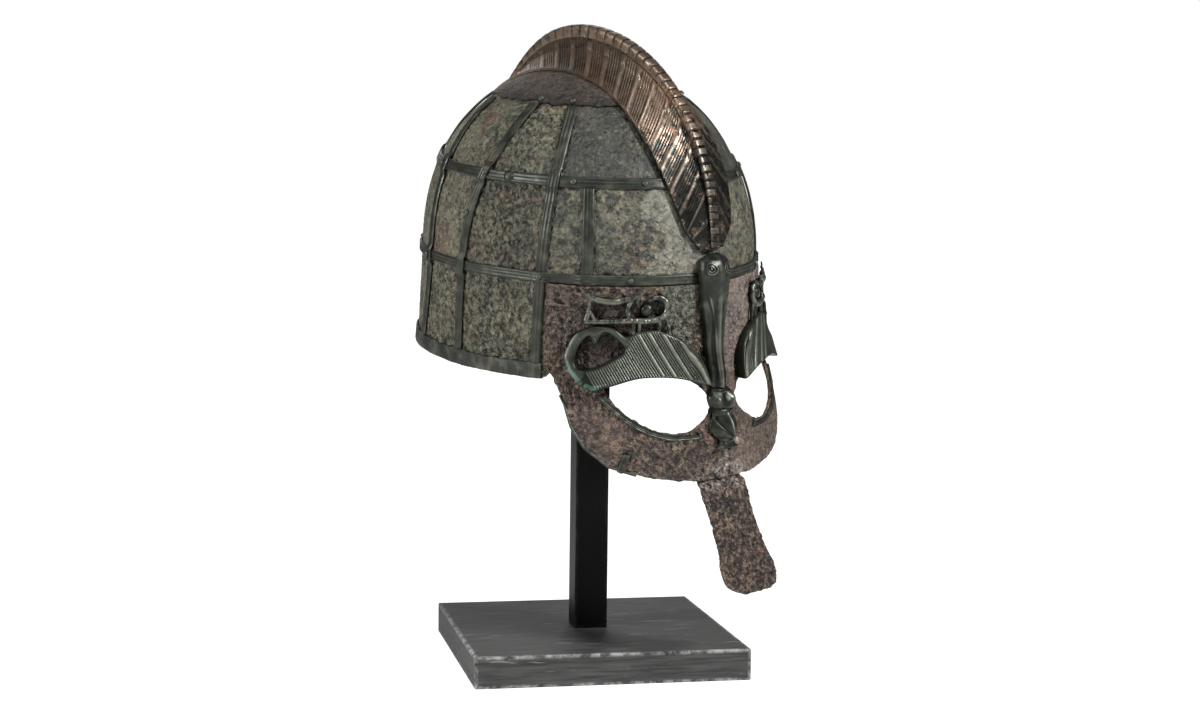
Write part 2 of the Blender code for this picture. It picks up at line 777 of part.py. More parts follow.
def crest_point(angle, across, height):
    """A point at a distance across the crest and a height over its seat in the middle."""
    turn = math.radians(angle)
    seat = crest_shell_point(angle, 0.0, OVER_STRIP)
    x, y = ridge_turned(across, -height * math.cos(turn))
    return seat + Vector((x, y, height * math.sin(turn)))


def crest_half(angle, side, flute, slant):
    """One flank of a section, from the edge of its foot up to the band along the ridge."""
    height = CREST_HEIGHT * read_table(CREST_SECTIONS, "angle", "height", angle)
    half = CREST_HALF_WIDTH * read_table(CREST_SECTIONS, "angle", "width", angle - slant)
    band = CREST_BAND_WIDTH * blend(0.7, 1.0, height / CREST_HEIGHT) / 2
    shelf = height * (1 - CREST_BAND_SHARE)
    points = [crest_shell_point(angle - slant, side * half, OVER_STRIP)]
    points.append(crest_shell_point(angle - slant, side * half, OVER_STRIP + CREST_EDGE))
    for share in CREST_FLANK:
        across = blend(half, band * CREST_WEB_SHARE, share)
        place = angle - slant * (1 - share)
        foot = crest_shell_point(place, side * across, OVER_STRIP + CREST_EDGE)
        web = crest_point(place, side * across, shelf)
        swell = flute * math.sin(math.pi * (share * 0.6 + 0.2))
        points.append(foot.lerp(web, share**CREST_HOLLOW) + Vector((side * swell, 0.0, 0.0)))
    points.append(crest_point(angle, side * band, shelf + band * 0.3))
    points.append(crest_point(angle, side * band, height * 0.96))
    return points


def make_crest():
    first = CREST_SECTIONS[0]["angle"]
    last = CREST_SECTIONS[-1]["angle"]
    count = CREST_FLUTES * 2
    sections = []
    for k in range(count + 1):
        angle = blend(first, last, k / count)
        fade = min(1.0, (angle - first) / CREST_FADE, (last - angle) / CREST_FADE)
        flute = CREST_FLUTE_DEPTH * (1 if k % 2 else -1) * fade
        slant = CREST_SLANT * fade
        right = crest_half(angle, -1, flute, slant)
        left = crest_half(angle, 1, flute, slant)
        height = CREST_HEIGHT * read_table(CREST_SECTIONS, "angle", "height", angle)
        foot = (right[0] + left[0]) / 2
        reach = math.degrees(math.atan2(foot.z, math.hypot(foot.x, foot.y)))
        reach = reach if foot.y < 0 else 180.0 - reach
        middle = []
        for across in (CREST_HALF_WIDTH / 2, 0.0, -CREST_HALF_WIDTH / 2):
            middle.append(crest_shell_point(reach, across, OVER_STRIP))
        sections.append(right + [crest_point(angle, 0.0, height)] + left[::-1] + middle)
    loft("crest", sections, "crest_bronze", helmet_frame)


# Visor, nasal, brows and mounts


def visor_flare(z):
    """How far the visor stands off the line of the bowl: straight between two of its slices."""
    above = math.floor(-z / VISOR_SLICE)
    shares = []
    for depth in (above * VISOR_SLICE, (above + 1) * VISOR_SLICE):
        shares.append(soft_step((depth - FLARE_START) / (FLARE_END - FLARE_START)))
    return VISOR_FLARE * blend(*shares, -z / VISOR_SLICE - above)


def over_visor(z):
    return SKIN + visor_flare(z) + VISOR_WALL + GAP


def make_visor():
    half = [(math.radians(VISOR_HALF_ANGLE) * FLAT_RADIUS, -VISOR_TOP_DROP)]
    half += flat_loop(VISOR_OUTLINE, 1, 0.0, VISOR_HALF_ANGLE, 0.0, VISOR_HEIGHT)
    half.append((NASAL_WIDTH / 2, -VISOR_HEIGHT))
    outline = half + [(-u, v) for u, v in reversed(half)]
    loops = [outline]
    for side in (1, -1):
        rows = flat_loop(EYE_OUTLINE, side, EYE_START, EYE_SPAN, EYE_DROP, EYE_HEIGHT)
        loops.append(smooth_loop(rows, 2))
    bent_plate(
        "visor",
        loops,
        VISOR_WALL,
        BOWL_CHORD / 2,
        VISOR_SLICE,
        lambda u, v, share: SKIN + visor_flare(v) + share * VISOR_WALL,
        "visor_iron",
    )


def make_eye_edging():
    """A bronze lip along the lower half of each eye opening, on the visor's outer face."""
    lower = [row for row in EYE_OUTLINE if row["down"] > 0.3 and row["round"] > 0.15]
    for side, word in ((1, "right"), (-1, "left")):
        line = flat_loop(lower, side, EYE_START, EYE_SPAN, EYE_DROP, EYE_HEIGHT)
        centre = Vector((side * math.radians(EYE_START + EYE_SPAN / 2) * FLAT_RADIUS, -EYE_DROP))
        sections = []
        for place in smooth_loop(line, 2)[: (len(line) - 1) * 2 + 1]:
            out = (place - centre).normalized()
            section = []
            for across, up in ((-0.5, 0.0), (0.5, 0.0), (0.5, 0.4), (0.2, 1.0), (-0.2, 1.0), (-0.5, 0.4)):
                spot = place + out * (EDGING_INSET + across * EDGING_WIDTH)
                away = over_visor(spot.y) + up * EDGING_WALL
                section.append(shell_point(math.degrees(spot.x / FLAT_RADIUS), spot.y, away))
            sections.append(section)
        loft(f"eye_edging_{word}", sections, "strip_bronze", helmet_frame)


NASAL_SECTION = [
    (-1.0, 0.2), (-0.85, 0.0), (0.85, 0.0), (1.0, 0.2), (1.0, 0.7), (0.7, 1.0), (-0.7, 1.0), (-1.0, 0.7)
]


def make_nasal():
    """The bar, flush with the visor below its edge and with a tongue behind it."""
    edge = -VISOR_HEIGHT
    front_radius = BOWL_HALF_WIDTH**2 / BOWL_HALF_LENGTH
    line = []
    for z in (edge + NASAL_TONGUE, edge - GAP):
        away = SKIN + visor_flare(z) - 2 * GAP - NASAL_WALL
        line.append({"z": z, "y": shell_point(0.0, z, away).y, "width": NASAL_TONGUE_SHARE})
    for row in NASAL_SECTIONS:
        away = SKIN + visor_flare(edge) + NASAL_FLARE * row["down"] ** NASAL_CURVE
        z = edge - NASAL_LENGTH * row["down"]
        line.append({"z": z, "y": shell_point(0.0, edge).y - away, "width": row["width"]})
    sections = []
    for row in line:
        half = NASAL_WIDTH * row["width"] / 2
        section = []
        for across, up in NASAL_SECTION:
            bow = (across * half) ** 2 / (2 * front_radius)
            y = row["y"] + bow - up * NASAL_WALL
            section.append(Vector((*ridge_turned(across * half, y), row["z"])))
        sections.append(section)
    loft("nasal_strip", sections, "visor_iron", helmet_frame)


def make_brows():
    """The cast brows: a thin upper edge, and a lower edge that stands out like an eave."""
    for side, word in ((1, "right"), (-1, "left")):
        place = (side, BROW_START, BROW_SPAN, BROW_DROP, BROW_HEIGHT)
        loops = [smooth_loop(flat_loop(BROW_OUTLINE, *place), 2)]
        loops.append(smooth_loop(flat_loop(BROW_LOOP, *place), 2))

        def offset(u, v, share):
            down = min(1.0, max(0.0, (-v - BROW_DROP) / BROW_HEIGHT))
            return over_visor(v) + share * (BROW_WALL + BROW_EAVE * down)

        bent_plate(f"brow_{word}", loops, BROW_WALL, BOWL_CHORD / 2, VISOR_SLICE, offset, "cast_bronze")


def make_mounts():
    for side, word in ((1, "right"), (-1, "left")):
        place = (side, MOUNT_START, MOUNT_SPAN, MOUNT_DROP, MOUNT_HEIGHT)
        loops = [smooth_loop(flat_loop(MOUNT_OUTLINE, *place), 1)]
        loops += [smooth_loop(flat_loop(rows, *place), 1) for rows in MOUNT_OPENINGS]
        bent_plate(
            f"pierced_mount_{word}",
            loops,
            MOUNT_WALL,
            BOWL_CHORD / 2,
            VISOR_SLICE,
            lambda u, v, share: over_visor(v) + share * MOUNT_WALL,
            "cast_bronze",
            one_opening_a_slice=False,
        )


# Beast head and nose mount


def front_seat(z):
    """The y at which a mount down the middle of the front sits, over the hoop or the visor."""
    if z > -VISOR_TOP_DROP:
        return shell_point(0.0, z, max(OVER_STRIP, over_visor(0.0)) + GAP).y
    return shell_point(0.0, z, over_visor(z) + GAP).y


def half_round(width, depth, seat, z, points=9):
    """A flat-backed section: a half round of that width and depth standing on its seat."""
    section = []
    for k in range(points):
        turn = math.pi * k / (points - 1)
        x = -width / 2 * math.cos(turn)
        y = seat - depth * math.sin(turn) ** 0.8
        section.append(Vector((*ridge_turned(x, y), z)))
    return section


def make_beast_head():
    sections = []
    for row in HEAD_SECTIONS:
        z = HEAD_TOP_RISE - row["down"] * HEAD_LENGTH
        seat = front_seat(z)
        sections.append(half_round(HEAD_WIDTH * row["width"], HEAD_DEPTH * row["depth"], seat, z))
    loft("beast_head", sections, "cast_bronze", helmet_frame)


def make_nose_mount():
    sections = []
    top = HEAD_TOP_RISE - HEAD_LENGTH - GAP
    for row in NOSE_SECTIONS:
        z = top - row["down"] * NOSE_LENGTH
        seat = front_seat(z)
        sections.append(half_round(NOSE_WIDTH * row["width"], NOSE_DEPTH * row["depth"], seat, z, 7))
    loft("nose_mount", sections, "cast_bronze", helmet_frame)


# Stand


def make_stand():
    bm = bmesh.new()
    bmesh.ops.create_cube(bm, size=1.0)
    for vert in bm.verts:
        vert.co = (vert.co.x * BASE_WIDTH, vert.co.y * BASE_WIDTH, (vert.co.z + 0.5) * BASE_HEIGHT)
    base = add_from_bmesh("stand_base", bm, "black_wood", None)
    base.rotation_euler.z = math.radians(STAND_TURN)
    edge = base.modifiers.new("edge", "BEVEL")
    edge.width = BASE_CHAMFER
    edge.segments = 1

    rings = []
    for z in bowl_rings()[PAD_RINGS:0:-1]:
        corners = [360.0 * k / BOWL_SIDES for k in range(BOWL_SIDES)]
        rings.append([shell_point(angle, z, -BOWL_WALL - GAP) for angle in corners])
    underside = rings[0][0].z - PAD_DEPTH
    rings.insert(0, [Vector((point.x, point.y, underside)) for point in rings[0]])
    loft("stand_pad", rings, "black_wood", helmet_frame)

    tilt = helmet_frame.rotation_euler.to_matrix()
    normal = tilt @ Vector((0.0, 0.0, 1.0))
    under = Vector(helmet_frame.location) + tilt @ Vector((0.0, 0.0, underside))
    spin = Euler((0.0, 0.0, math.radians(STAND_TURN))).to_matrix()
    bm = bmesh.new()
    bmesh.ops.create_cube(bm, size=POST_WIDTH)
    for vert in bm.verts:
        spot = spin @ Vector((vert.co.x, vert.co.y, 0.0))
        away = normal.xy.dot(spot.xy - under.xy) / normal.z
        top = under.z - away - GAP
        vert.co.z = top if vert.co.z > 0 else BASE_HEIGHT + GAP
    post = add_from_bmesh("stand_post", bm, "black_wood", None)
    post.rotation_euler.z = math.radians(STAND_TURN)


clear_scene()
collection = make_collection()
materials = {name: make_material(name, look) for name, look in COLOURS.items()}
helmet_frame = make_helmet_frame()
make_stand()
make_bowl()
make_crown_plate()
make_upper_hoop()
make_lower_hoop()
make_uprights()
make_short_uprights()
make_rim_binding()
make_rivets()
make_crest()
make_visor()
make_eye_edging()
make_nasal()
make_brows()
make_mounts()
make_beast_head()
make_nose_mount()
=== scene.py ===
import math
import bpy
import numpy as np
from mathutils import Euler, Matrix, Vector, noise


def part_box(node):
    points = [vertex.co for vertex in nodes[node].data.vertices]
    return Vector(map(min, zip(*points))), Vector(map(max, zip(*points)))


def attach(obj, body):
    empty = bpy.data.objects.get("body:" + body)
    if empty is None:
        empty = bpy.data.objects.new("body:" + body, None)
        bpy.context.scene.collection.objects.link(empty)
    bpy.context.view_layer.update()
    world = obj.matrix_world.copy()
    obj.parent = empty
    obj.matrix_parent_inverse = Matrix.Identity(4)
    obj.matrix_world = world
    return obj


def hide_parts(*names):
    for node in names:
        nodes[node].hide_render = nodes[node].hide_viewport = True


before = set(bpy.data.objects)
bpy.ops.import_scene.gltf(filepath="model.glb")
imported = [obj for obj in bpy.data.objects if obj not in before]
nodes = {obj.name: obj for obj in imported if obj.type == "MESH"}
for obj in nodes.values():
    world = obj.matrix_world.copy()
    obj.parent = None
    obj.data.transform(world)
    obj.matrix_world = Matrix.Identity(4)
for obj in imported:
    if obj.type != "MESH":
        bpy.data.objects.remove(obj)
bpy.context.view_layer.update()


# small helpers


def report(words):
    print("helmet:", words)


def deselectAll():
    if bpy.context.mode != "OBJECT":
        bpy.ops.object.mode_set(mode="OBJECT")
    bpy.ops.object.select_all(action="DESELECT")


def selectOnly(piece):
    deselectAll()
    piece.select_set(True)
    bpy.context.view_layer.objects.active = piece


def pointsOf(piece):
    flat = np.empty(len(piece.data.vertices) * 3, np.float32)
    piece.data.vertices.foreach_get("co", flat)
    return flat.reshape(-1, 3).astype(float)


def setPoints(piece, points):
    piece.data.vertices.foreach_set("co", np.asarray(points, np.float32).ravel())
    piece.data.update()


def normalsOf(piece):
    flat = np.empty(len(piece.data.vertices) * 3, np.float32)
    piece.data.vertices.foreach_get("normal", flat)
    return flat.reshape(-1, 3).astype(float)


def setAttribute(piece, name, values):
    attribute = piece.data.attributes.new(name, "FLOAT", "POINT")
    attribute.data.foreach_set("value", np.asarray(values, np.float32))


def applyModifier(piece, kind, **settings):
    selectOnly(piece)
    modifier = piece.modifiers.new(kind.lower(), kind)
    for name, value in settings.items():
        setattr(modifier, name, value)
    bpy.ops.object.modifier_apply(modifier=modifier.name)


def weld(piece, distance=0.000005, outward=True):
    # closes seams and poles, then turns the faces outward
    selectOnly(piece)
    bpy.ops.object.mode_set(mode="EDIT")
    bpy.ops.mesh.select_all(action="SELECT")
    bpy.ops.mesh.remove_doubles(threshold=distance)
    bpy.ops.mesh.dissolve_degenerate(threshold=distance)
    if outward:
        bpy.ops.mesh.select_all(action="SELECT")
        bpy.ops.mesh.normals_make_consistent(inside=False)
    bpy.ops.object.mode_set(mode="OBJECT")


def closeEnds(piece):
    selectOnly(piece)
    bpy.ops.object.mode_set(mode="EDIT")
    bpy.ops.mesh.select_all(action="SELECT")
    bpy.ops.mesh.fill_holes(sides=0)
    bpy.ops.mesh.select_all(action="SELECT")
    bpy.ops.mesh.normals_make_consistent(inside=False)
    bpy.ops.object.mode_set(mode="OBJECT")


def gridSheet(name, places, closeAcross=False):
    # a grid primitive whose points take their places from an array: rows, columns, 3
    rows, columns = places.shape[:2]
    deselectAll()
    bpy.ops.mesh.primitive_grid_add(x_subdivisions=columns - 1, y_subdivisions=rows - 1, size=1)
    sheet = bpy.context.object
    sheet.name = sheet.data.name = name
    flat = pointsOf(sheet)
    column = np.rint((flat[:, 0] + 0.5) * (columns - 1)).astype(int)
    row = np.rint((flat[:, 1] + 0.5) * (rows - 1)).astype(int)
    setPoints(sheet, places[row, column])
    weld(sheet)
    return sheet


def tubeSheet(name, places):
    # rows of closed sections, so the last point of each row is its first again
    piece = gridSheet(name, np.concatenate([places, places[:, :1]], axis=1))
    closeEnds(piece)
    return piece


def roundBar(name, middle, outward, radius, flat, sides):
    # a bar of round section along a line, its ends closed by rounding
    along = np.gradient(middle, axis=0)
    along /= np.linalg.norm(along, axis=1)[:, None]
    across = np.cross(along, outward)
    across /= np.linalg.norm(across, axis=1)[:, None]
    turn = np.linspace(0, 2 * math.pi, sides, endpoint=False)
    ring = across[:, None] * np.cos(turn)[None, :, None] + outward[:, None] * (np.sin(turn) * flat)[None, :, None]
    caps = np.ones(len(middle))
    caps[[0, -1]] = 0.55
    return tubeSheet(name, middle[:, None] + ring * (radius * caps)[:, None, None])


def softStep(share):
    share = np.clip(share, 0.0, 1.0)
    return share * share * (3 - 2 * share)


def readTable(rows, key, column, places):
    # a table's column at many places, on a smooth curve through its rows
    keys = np.array([row[key] for row in rows], float)
    values = np.array([row[column] for row in rows], float)
    slopes = np.gradient(values, keys)
    places = np.clip(places, keys[0], keys[-1])
    index = np.clip(np.searchsorted(keys, places) - 1, 0, len(keys) - 2)
    step = keys[index + 1] - keys[index]
    t = (places - keys[index]) / step
    start = values[index] * (2 * t**3 - 3 * t**2 + 1) + slopes[index] * step * (t**3 - 2 * t**2 + t)
    end = values[index + 1] * (3 * t**2 - 2 * t**3) + slopes[index + 1] * step * (t**3 - t**2)
    return start + end


def clouds(points, size, octaves=3, seed=0):
    # soft noise around 0, mostly between -0.6 and 0.6, whose largest lumps are size metres across
    shift = Vector((seed * 3.71, seed * 1.93, seed * 5.37))
    return np.array([noise.fractal(Vector(point) / size + shift, 1.0, 2.1, octaves) for point in points])


def creases(points, size, octaves=2, seed=0):
    # sharp valleys between lumps, 0 in a valley and about 1 on a lump
    shift = Vector((seed * 2.13, seed * 4.41, seed * 1.17))
    return np.array([noise.turbulence(Vector(point) / size + shift, octaves, True) for point in points])


def pits(points, size, share, seed=0):
    # round holes, 1 in the middle of one, in that share of the cells
    shift = Vector((seed * 7.7, seed * 1.3, seed * 4.9))
    depth = np.zeros(len(points))
    for i, point in enumerate(points):
        distances, centres = noise.voronoi(Vector(point) / size + shift)
        chance = noise.cell(centres[0] * 9.7)
        if abs(chance) < share:
            depth[i] = max(0.0, 1.0 - distances[0] / (0.25 + 0.35 * abs(chance) / share))
    return softStep(depth * 1.6)


# the helmet's own frame: the middle of the brow hoop, front to -Y, the wearer's left to +X

helmetSeat = {"place": (-0.003, 0.002, 0.2668), "nod": 6.2, "lean": -4.9}
helmetMatrix = Matrix.Translation(helmetSeat["place"]) @ Euler(
    (math.radians(helmetSeat["nod"]), math.radians(helmetSeat["lean"]), 0.0)
).to_matrix().to_4x4()

shape = {
    "halfLength": 0.116,
    "halfWidth": 0.100,
    "crownHeight": 0.1175,
    "fullness": 2.12,
    "rimDrop": 0.0615,
    "frontRimDrop": 0.0545,
    "rimSpread": 0.026,
    "wall": 0.0022,
    "gap": 0.0003,
    "stripWall": 0.0012,
    "hoopWidth": 0.0062,
    "uprightWidth": 0.0068,
    "upperHoopRise": 0.0568,
    "crownPlateRise": 0.099,
    "flatRadius": 0.108,
}


def shellShare(z):
    rise = np.clip(z / shape["crownHeight"], 0.0, 1.0)
    dome = np.maximum(1 - rise ** shape["fullness"], 0.0) ** (1 / shape["fullness"])
    return np.where(z <= 0, 1 - shape["rimSpread"] * z / shape["rimDrop"], dome)


def shellNormal(x, y, z):
    ring = np.hypot(x / shape["halfWidth"], y / shape["halfLength"])
    across = np.stack([x / shape["halfWidth"] ** 2, y / shape["halfLength"] ** 2, np.zeros_like(x)], -1)
    across /= np.maximum(ring, 1e-6)[..., None]
    power = shape["fullness"] - 1
    rise = np.clip(z / shape["crownHeight"], 0.0, 1.0)
    dome = across * (ring**power)[..., None]
    dome[..., 2] = rise**power / shape["crownHeight"]
    normal = np.where((z > 0)[..., None], dome, across)
    return normal / np.maximum(np.linalg.norm(normal, axis=-1, keepdims=True), 1e-9)


def shellPoint(angle, z, offset=0.0):
    # angle in degrees from the front towards the wearer's right, offset outward in metres
    angle, z, offset = np.broadcast_arrays(*(np.asarray(value, float) for value in (angle, z, offset)))
    x = -shape["halfWidth"] * shellShare(z) * np.sin(np.radians(angle))
    y = -shape["halfLength"] * shellShare(z) * np.cos(np.radians(angle))
    return np.stack([x, y, z], -1) + shellNormal(x, y, z) * offset[..., None]


def degreesAcross(angle, z, width):
    turn = np.radians(angle)
    reach = np.hypot(shape["halfWidth"] * np.cos(turn), shape["halfLength"] * np.sin(turn))
    return np.degrees(width / (reach * shellShare(np.asarray(z, float))))


def seatOnStand(piece):
    # from the helmet's own frame to the row's frame
    piece.data.transform(helmetMatrix)
    piece.data.update()


def finishPiece(piece, material, replaced=(), smooth=True, onHelmet=True, angle=50.0):
    if onHelmet:
        seatOnStand(piece)
    piece.data.materials.clear()
    piece.data.materials.append(material)
    selectOnly(piece)
    if smooth:
        bpy.ops.object.shade_smooth_by_angle(angle=math.radians(angle))
    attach(piece, "root")
    if replaced:
        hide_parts(*replaced)
    return piece


# materials

def linear(code):
    # an sRGB hex code as linear red, green, blue
    parts = [int(code[i : i + 2], 16) / 255 for i in (0, 2, 4)]
    return tuple(c / 12.92 if c <= 0.04045 else ((c + 0.055) / 1.055) ** 2.4 for c in parts) + (1.0,)


def addNode(tree, kind, inputs=None, **settings):
    node = tree.nodes.new(kind)
    for name, value in settings.items():
        setattr(node, name, value)
    for socket, value in (inputs or {}).items():
        if isinstance(value, bpy.types.NodeSocket):
            tree.links.new(value, node.inputs[socket])
        else:
            node.inputs[socket].default_value = value
    return node


def newMaterial(name):
    material = bpy.data.materials.new(name)
    material.use_nodes = True
    tree = material.node_tree
    return material, tree, tree.nodes["Principled BSDF"]


def patina(look):
    # metal under its corrosion: patches, stains, crust, pits, painted relief shade with painted highlights and painted
    # crevice shade, and cavity and wear tones from the mesh
    material, tree, shader = newMaterial(look["name"])
    place = addNode(tree, "ShaderNodeTexCoord").outputs["Object"]
    marks = {
        name: addNode(tree, "ShaderNodeAttribute", attribute_name=name).outputs["Fac"]
        for name in ("depth", "tint_and_shade", "flake_and_painted_light", "rough")
    }
    masks = {}
    # each noise: its size in millimetres, detail, roughness, and the levels where it starts and is full
    for name, size, detail, rough, low, high in (
        ("patch", look["patchMm"], 6.0, 0.62, 0.40, 0.60),
        ("stain", look["stainMm"], 5.0, 0.60, look["stainFrom"], look["stainFrom"] + 0.10),
        ("broken", 5.0, 4.0, 0.60, 0.30, 0.70),
        ("speckle_and_shade", look["speckleMm"], 4.0, 0.72, 0.28, 0.72),
        ("chosen", look["pitMm"] * 3.3, 2.0, 0.50, 0.50, 0.58),
        ("relief", look["reliefMm"], 4.0, 0.62, 0.36, 0.66),
        ("crust", look["reliefMm"], 3.0, 0.48, 0.28, 0.72),
        ("painted_crevice_shade", look["crustMm"], 8.0, 0.66, 0.50, 0.42),
        ("painted_highlight", look["crustMm"], 8.0, 0.66, 0.53, 0.66),
        ("gloss", look["speckleMm"] * 4, 3.0, 0.60, 0.35, 0.68),
        ("grain", look["grainMm"], 2.0, 0.50, 0.0, 1.0),
    ):
        shift = 3.1 * {"crust": 5, "painted_highlight": 7}.get(name, len(masks))
        moved = addNode(tree, "ShaderNodeMapping", {"Vector": place, "Location": (shift, shift * 0.7, -shift)})
        cloud = addNode(
            tree, "ShaderNodeTexNoise",
            {"Vector": moved.outputs[0], "Scale": 1000 / size, "Detail": detail, "Roughness": rough, "Distortion": 0.4},
        )
        masks[name] = addNode(
            tree, "ShaderNodeMapRange", {"Value": cloud.outputs["Fac"], "From Min": low, "From Max": high}
        ).outputs["Result"]
    holes = addNode(tree, "ShaderNodeTexVoronoi", {"Vector": place, "Scale": 1000 / look["pitMm"]}, feature="F1")
    hole = addNode(
        tree, "ShaderNodeMapRange",
        {"Value": holes.outputs["Distance"], "From Min": look["pitSize"], "From Max": look["pitSize"] * 0.45,
         "To Max": look["pitShare"]},
    ).outputs["Result"]
    pit = addNode(tree, "ShaderNodeMath", {0: hole, 1: masks["chosen"]}, operation="MULTIPLY").outputs[0]
    # painted highlights on the crust's high grains and painted shade in its crevices, where the mesh says it is rough
    painted_crevice_shade, painted_highlight = (
        addNode(tree, "ShaderNodeMath", {0: masks[name], 1: marks["rough"]}, operation="MULTIPLY").outputs[0]
        for name in ("painted_crevice_shade", "painted_highlight")
    )
    # tints, and on the crest painted shade, where the tint mark and the broken noise add up
    tinted_and_shaded = addNode(tree, "ShaderNodeMath", {0: marks["tint_and_shade"], 1: masks["broken"]}, operation="ADD").outputs[0]
    tinted_and_shaded = addNode(tree, "ShaderNodeMapRange", {"Value": tinted_and_shaded, "From Min": 1.02, "From Max": 1.35}).outputs["Result"]
    cavity = addNode(
        tree, "ShaderNodeMapRange", {"Value": marks["depth"], "From Min": 0.0, "From Max": look["cavityFull"], "To Max": look["cavityShare"]}
    ).outputs["Result"]
    raised = addNode(
        tree, "ShaderNodeMapRange", {"Value": marks["depth"], "From Min": 0.0, "From Max": -look["cavityFull"], "To Max": look["wearShare"]}
    ).outputs["Result"]
    # fine random specks of tone, which also stand in for painted light and shade on the crust
    speckle_and_shade = addNode(
        tree, "ShaderNodeMapRange", {"Value": masks["speckle_and_shade"], "To Min": 1 - look["speckleShare"], "To Max": 1 + look["speckleShare"]}
    ).outputs["Result"]
    # painted relief shade: the colour made lighter on the lumps of the relief noise and darker between them, on the
    # same noise as the crust's bump
    painted_relief_shade = addNode(
        tree, "ShaderNodeMapRange", {"Value": masks["relief"], "To Min": look["reliefShadeLow"], "To Max": look["reliefShadeHigh"]}
    ).outputs["Result"]
    # the tones, each laid over the ones before it
    colour = linear(look["tone"])
    for share, tone, blend in (
        (masks["patch"], linear(look["second"]), "MIX"),
        (masks["stain"], linear(look["stain"]), "MIX"),
        (tinted_and_shaded, linear(look.get("tint_and_shade", look["tone"])), "MIX"),
        # pale flakes, and on the visor painted light over its left half
        (marks["flake_and_painted_light"], linear(look.get("flake_and_painted_light", look["worn"])), "MIX"),
        (1.0, speckle_and_shade, "MULTIPLY"),
        # painted relief shade where the mesh says it is rough
        (marks["rough"], painted_relief_shade, "MULTIPLY"),
        (raised, linear(look["worn"]), "MIX"),
        # painted highlight on the grains, then painted shade in the crevices
        (painted_highlight, linear(look["painted_highlight"]), "MIX"),
        (painted_crevice_shade, linear(look["dark"]), "MIX"),
        (pit, linear(look["dark"]), "MIX"),
        (cavity, linear(look["dark"]), "MIX"),
    ):
        layer = addNode(tree, "ShaderNodeMix", {0: share, 6: colour, 7: tone}, data_type="RGBA", blend_type=blend)
        colour = layer.outputs[2]
    tree.links.new(colour, shader.inputs["Base Color"])
    sheen = addNode(
        tree, "ShaderNodeMapRange",
        {"Value": masks["gloss"], "To Min": look["roughness"] - 0.10, "To Max": look["roughness"] + 0.12},
    ).outputs["Result"]
    tree.links.new(sheen, shader.inputs["Roughness"])
    shader.inputs["Metallic"].default_value = look["metallic"]
    # relief: the grain all over, the crust where the mesh says it is rough, then the pits
    crust = addNode(tree, "ShaderNodeMath", {0: masks["crust"], 1: marks["rough"]}, operation="MULTIPLY").outputs[0]
    normal = None
    for height, depth, inwards in (
        (masks["grain"], look["grainDepth"], False), (crust, look["crustDepth"], False), (pit, look["pitMm"] * 0.22, True),
    ):
        inputs = {"Height": height, "Distance": depth / 1000, "Strength": 1.0}
        if normal:
            inputs["Normal"] = normal
        normal = addNode(tree, "ShaderNodeBump", inputs, invert=inwards).outputs[0]
    tree.links.new(normal, shader.inputs["Normal"])
    return material


# raised iron sheet, long buried: grey-olive crust with brown bloom and black pits, dull
bowlIron = patina({
    "name": "corroded_iron_olive", "painted_highlight": "767364", "tone": "615c4b", "second": "515243", "stain": "594638", "stainFrom": 0.55,
    "dark": "100e0b", "worn": "8f8a76", "tint_and_shade": "2d2e29", "flake_and_painted_light": "5f605a", "patchMm": 24.0, "stainMm": 30.0, "speckleMm": 1.8,
    "speckleShare": 0.40, "crustMm": 2.7, "reliefMm": 4.6, "reliefShadeLow": 0.50, "reliefShadeHigh": 1.75, "crustDepth": 5.2,
    "pitMm": 2.6, "pitSize": 0.34, "pitShare": 0.9,
    "cavityFull": 0.9, "cavityShare": 0.55, "wearShare": 0.40, "roughness": 0.58, "metallic": 0.20,
    "grainMm": 1.1, "grainDepth": 0.30,
})
# the crown's plate kept a browner, closer skin than the bowl
crownIron = patina({
    "name": "corroded_iron_brown", "painted_highlight": "51473d", "tone": "302a24", "second": "2b2822", "stain": "36261f", "stainFrom": 0.52,
    "dark": "120f0d", "worn": "6f6457", "patchMm": 18.0, "stainMm": 22.0, "speckleMm": 1.6, "speckleShare": 0.35,
    "crustMm": 2.4, "reliefMm": 4.0, "reliefShadeLow": 0.60, "reliefShadeHigh": 1.50, "crustDepth": 1.6,
    "pitMm": 2.4, "pitSize": 0.30, "pitShare": 0.8, "cavityFull": 0.6,
    "cavityShare": 0.7, "wearShare": 0.3, "roughness": 0.58, "metallic": 0.25, "grainMm": 0.9, "grainDepth": 0.30,
})
# the same sheet iron where rust took it: red-brown, lumpy, with grey-green patches by the nose
visorIron = patina({
    "name": "rusted_iron_maroon", "painted_highlight": "84735f", "tone": "513f36", "second": "43372f", "stain": "5f4f40", "stainFrom": 0.55,
    "dark": "120d0b", "worn": "8f7b6c", "tint_and_shade": "5a5c50", "flake_and_painted_light": "a8a199", "patchMm": 11.0, "stainMm": 15.0,
    "speckleMm": 1.5, "speckleShare": 0.45, "crustMm": 2.6, "reliefMm": 4.4, "reliefShadeLow": 0.48, "reliefShadeHigh": 1.75,
    "crustDepth": 5.6, "pitMm": 2.2, "pitSize": 0.36,
    "pitShare": 0.9, "cavityFull": 0.7, "cavityShare": 0.7, "wearShare": 0.45, "roughness": 0.62, "metallic": 0.12,
    "grainMm": 0.9, "grainDepth": 0.40,
})
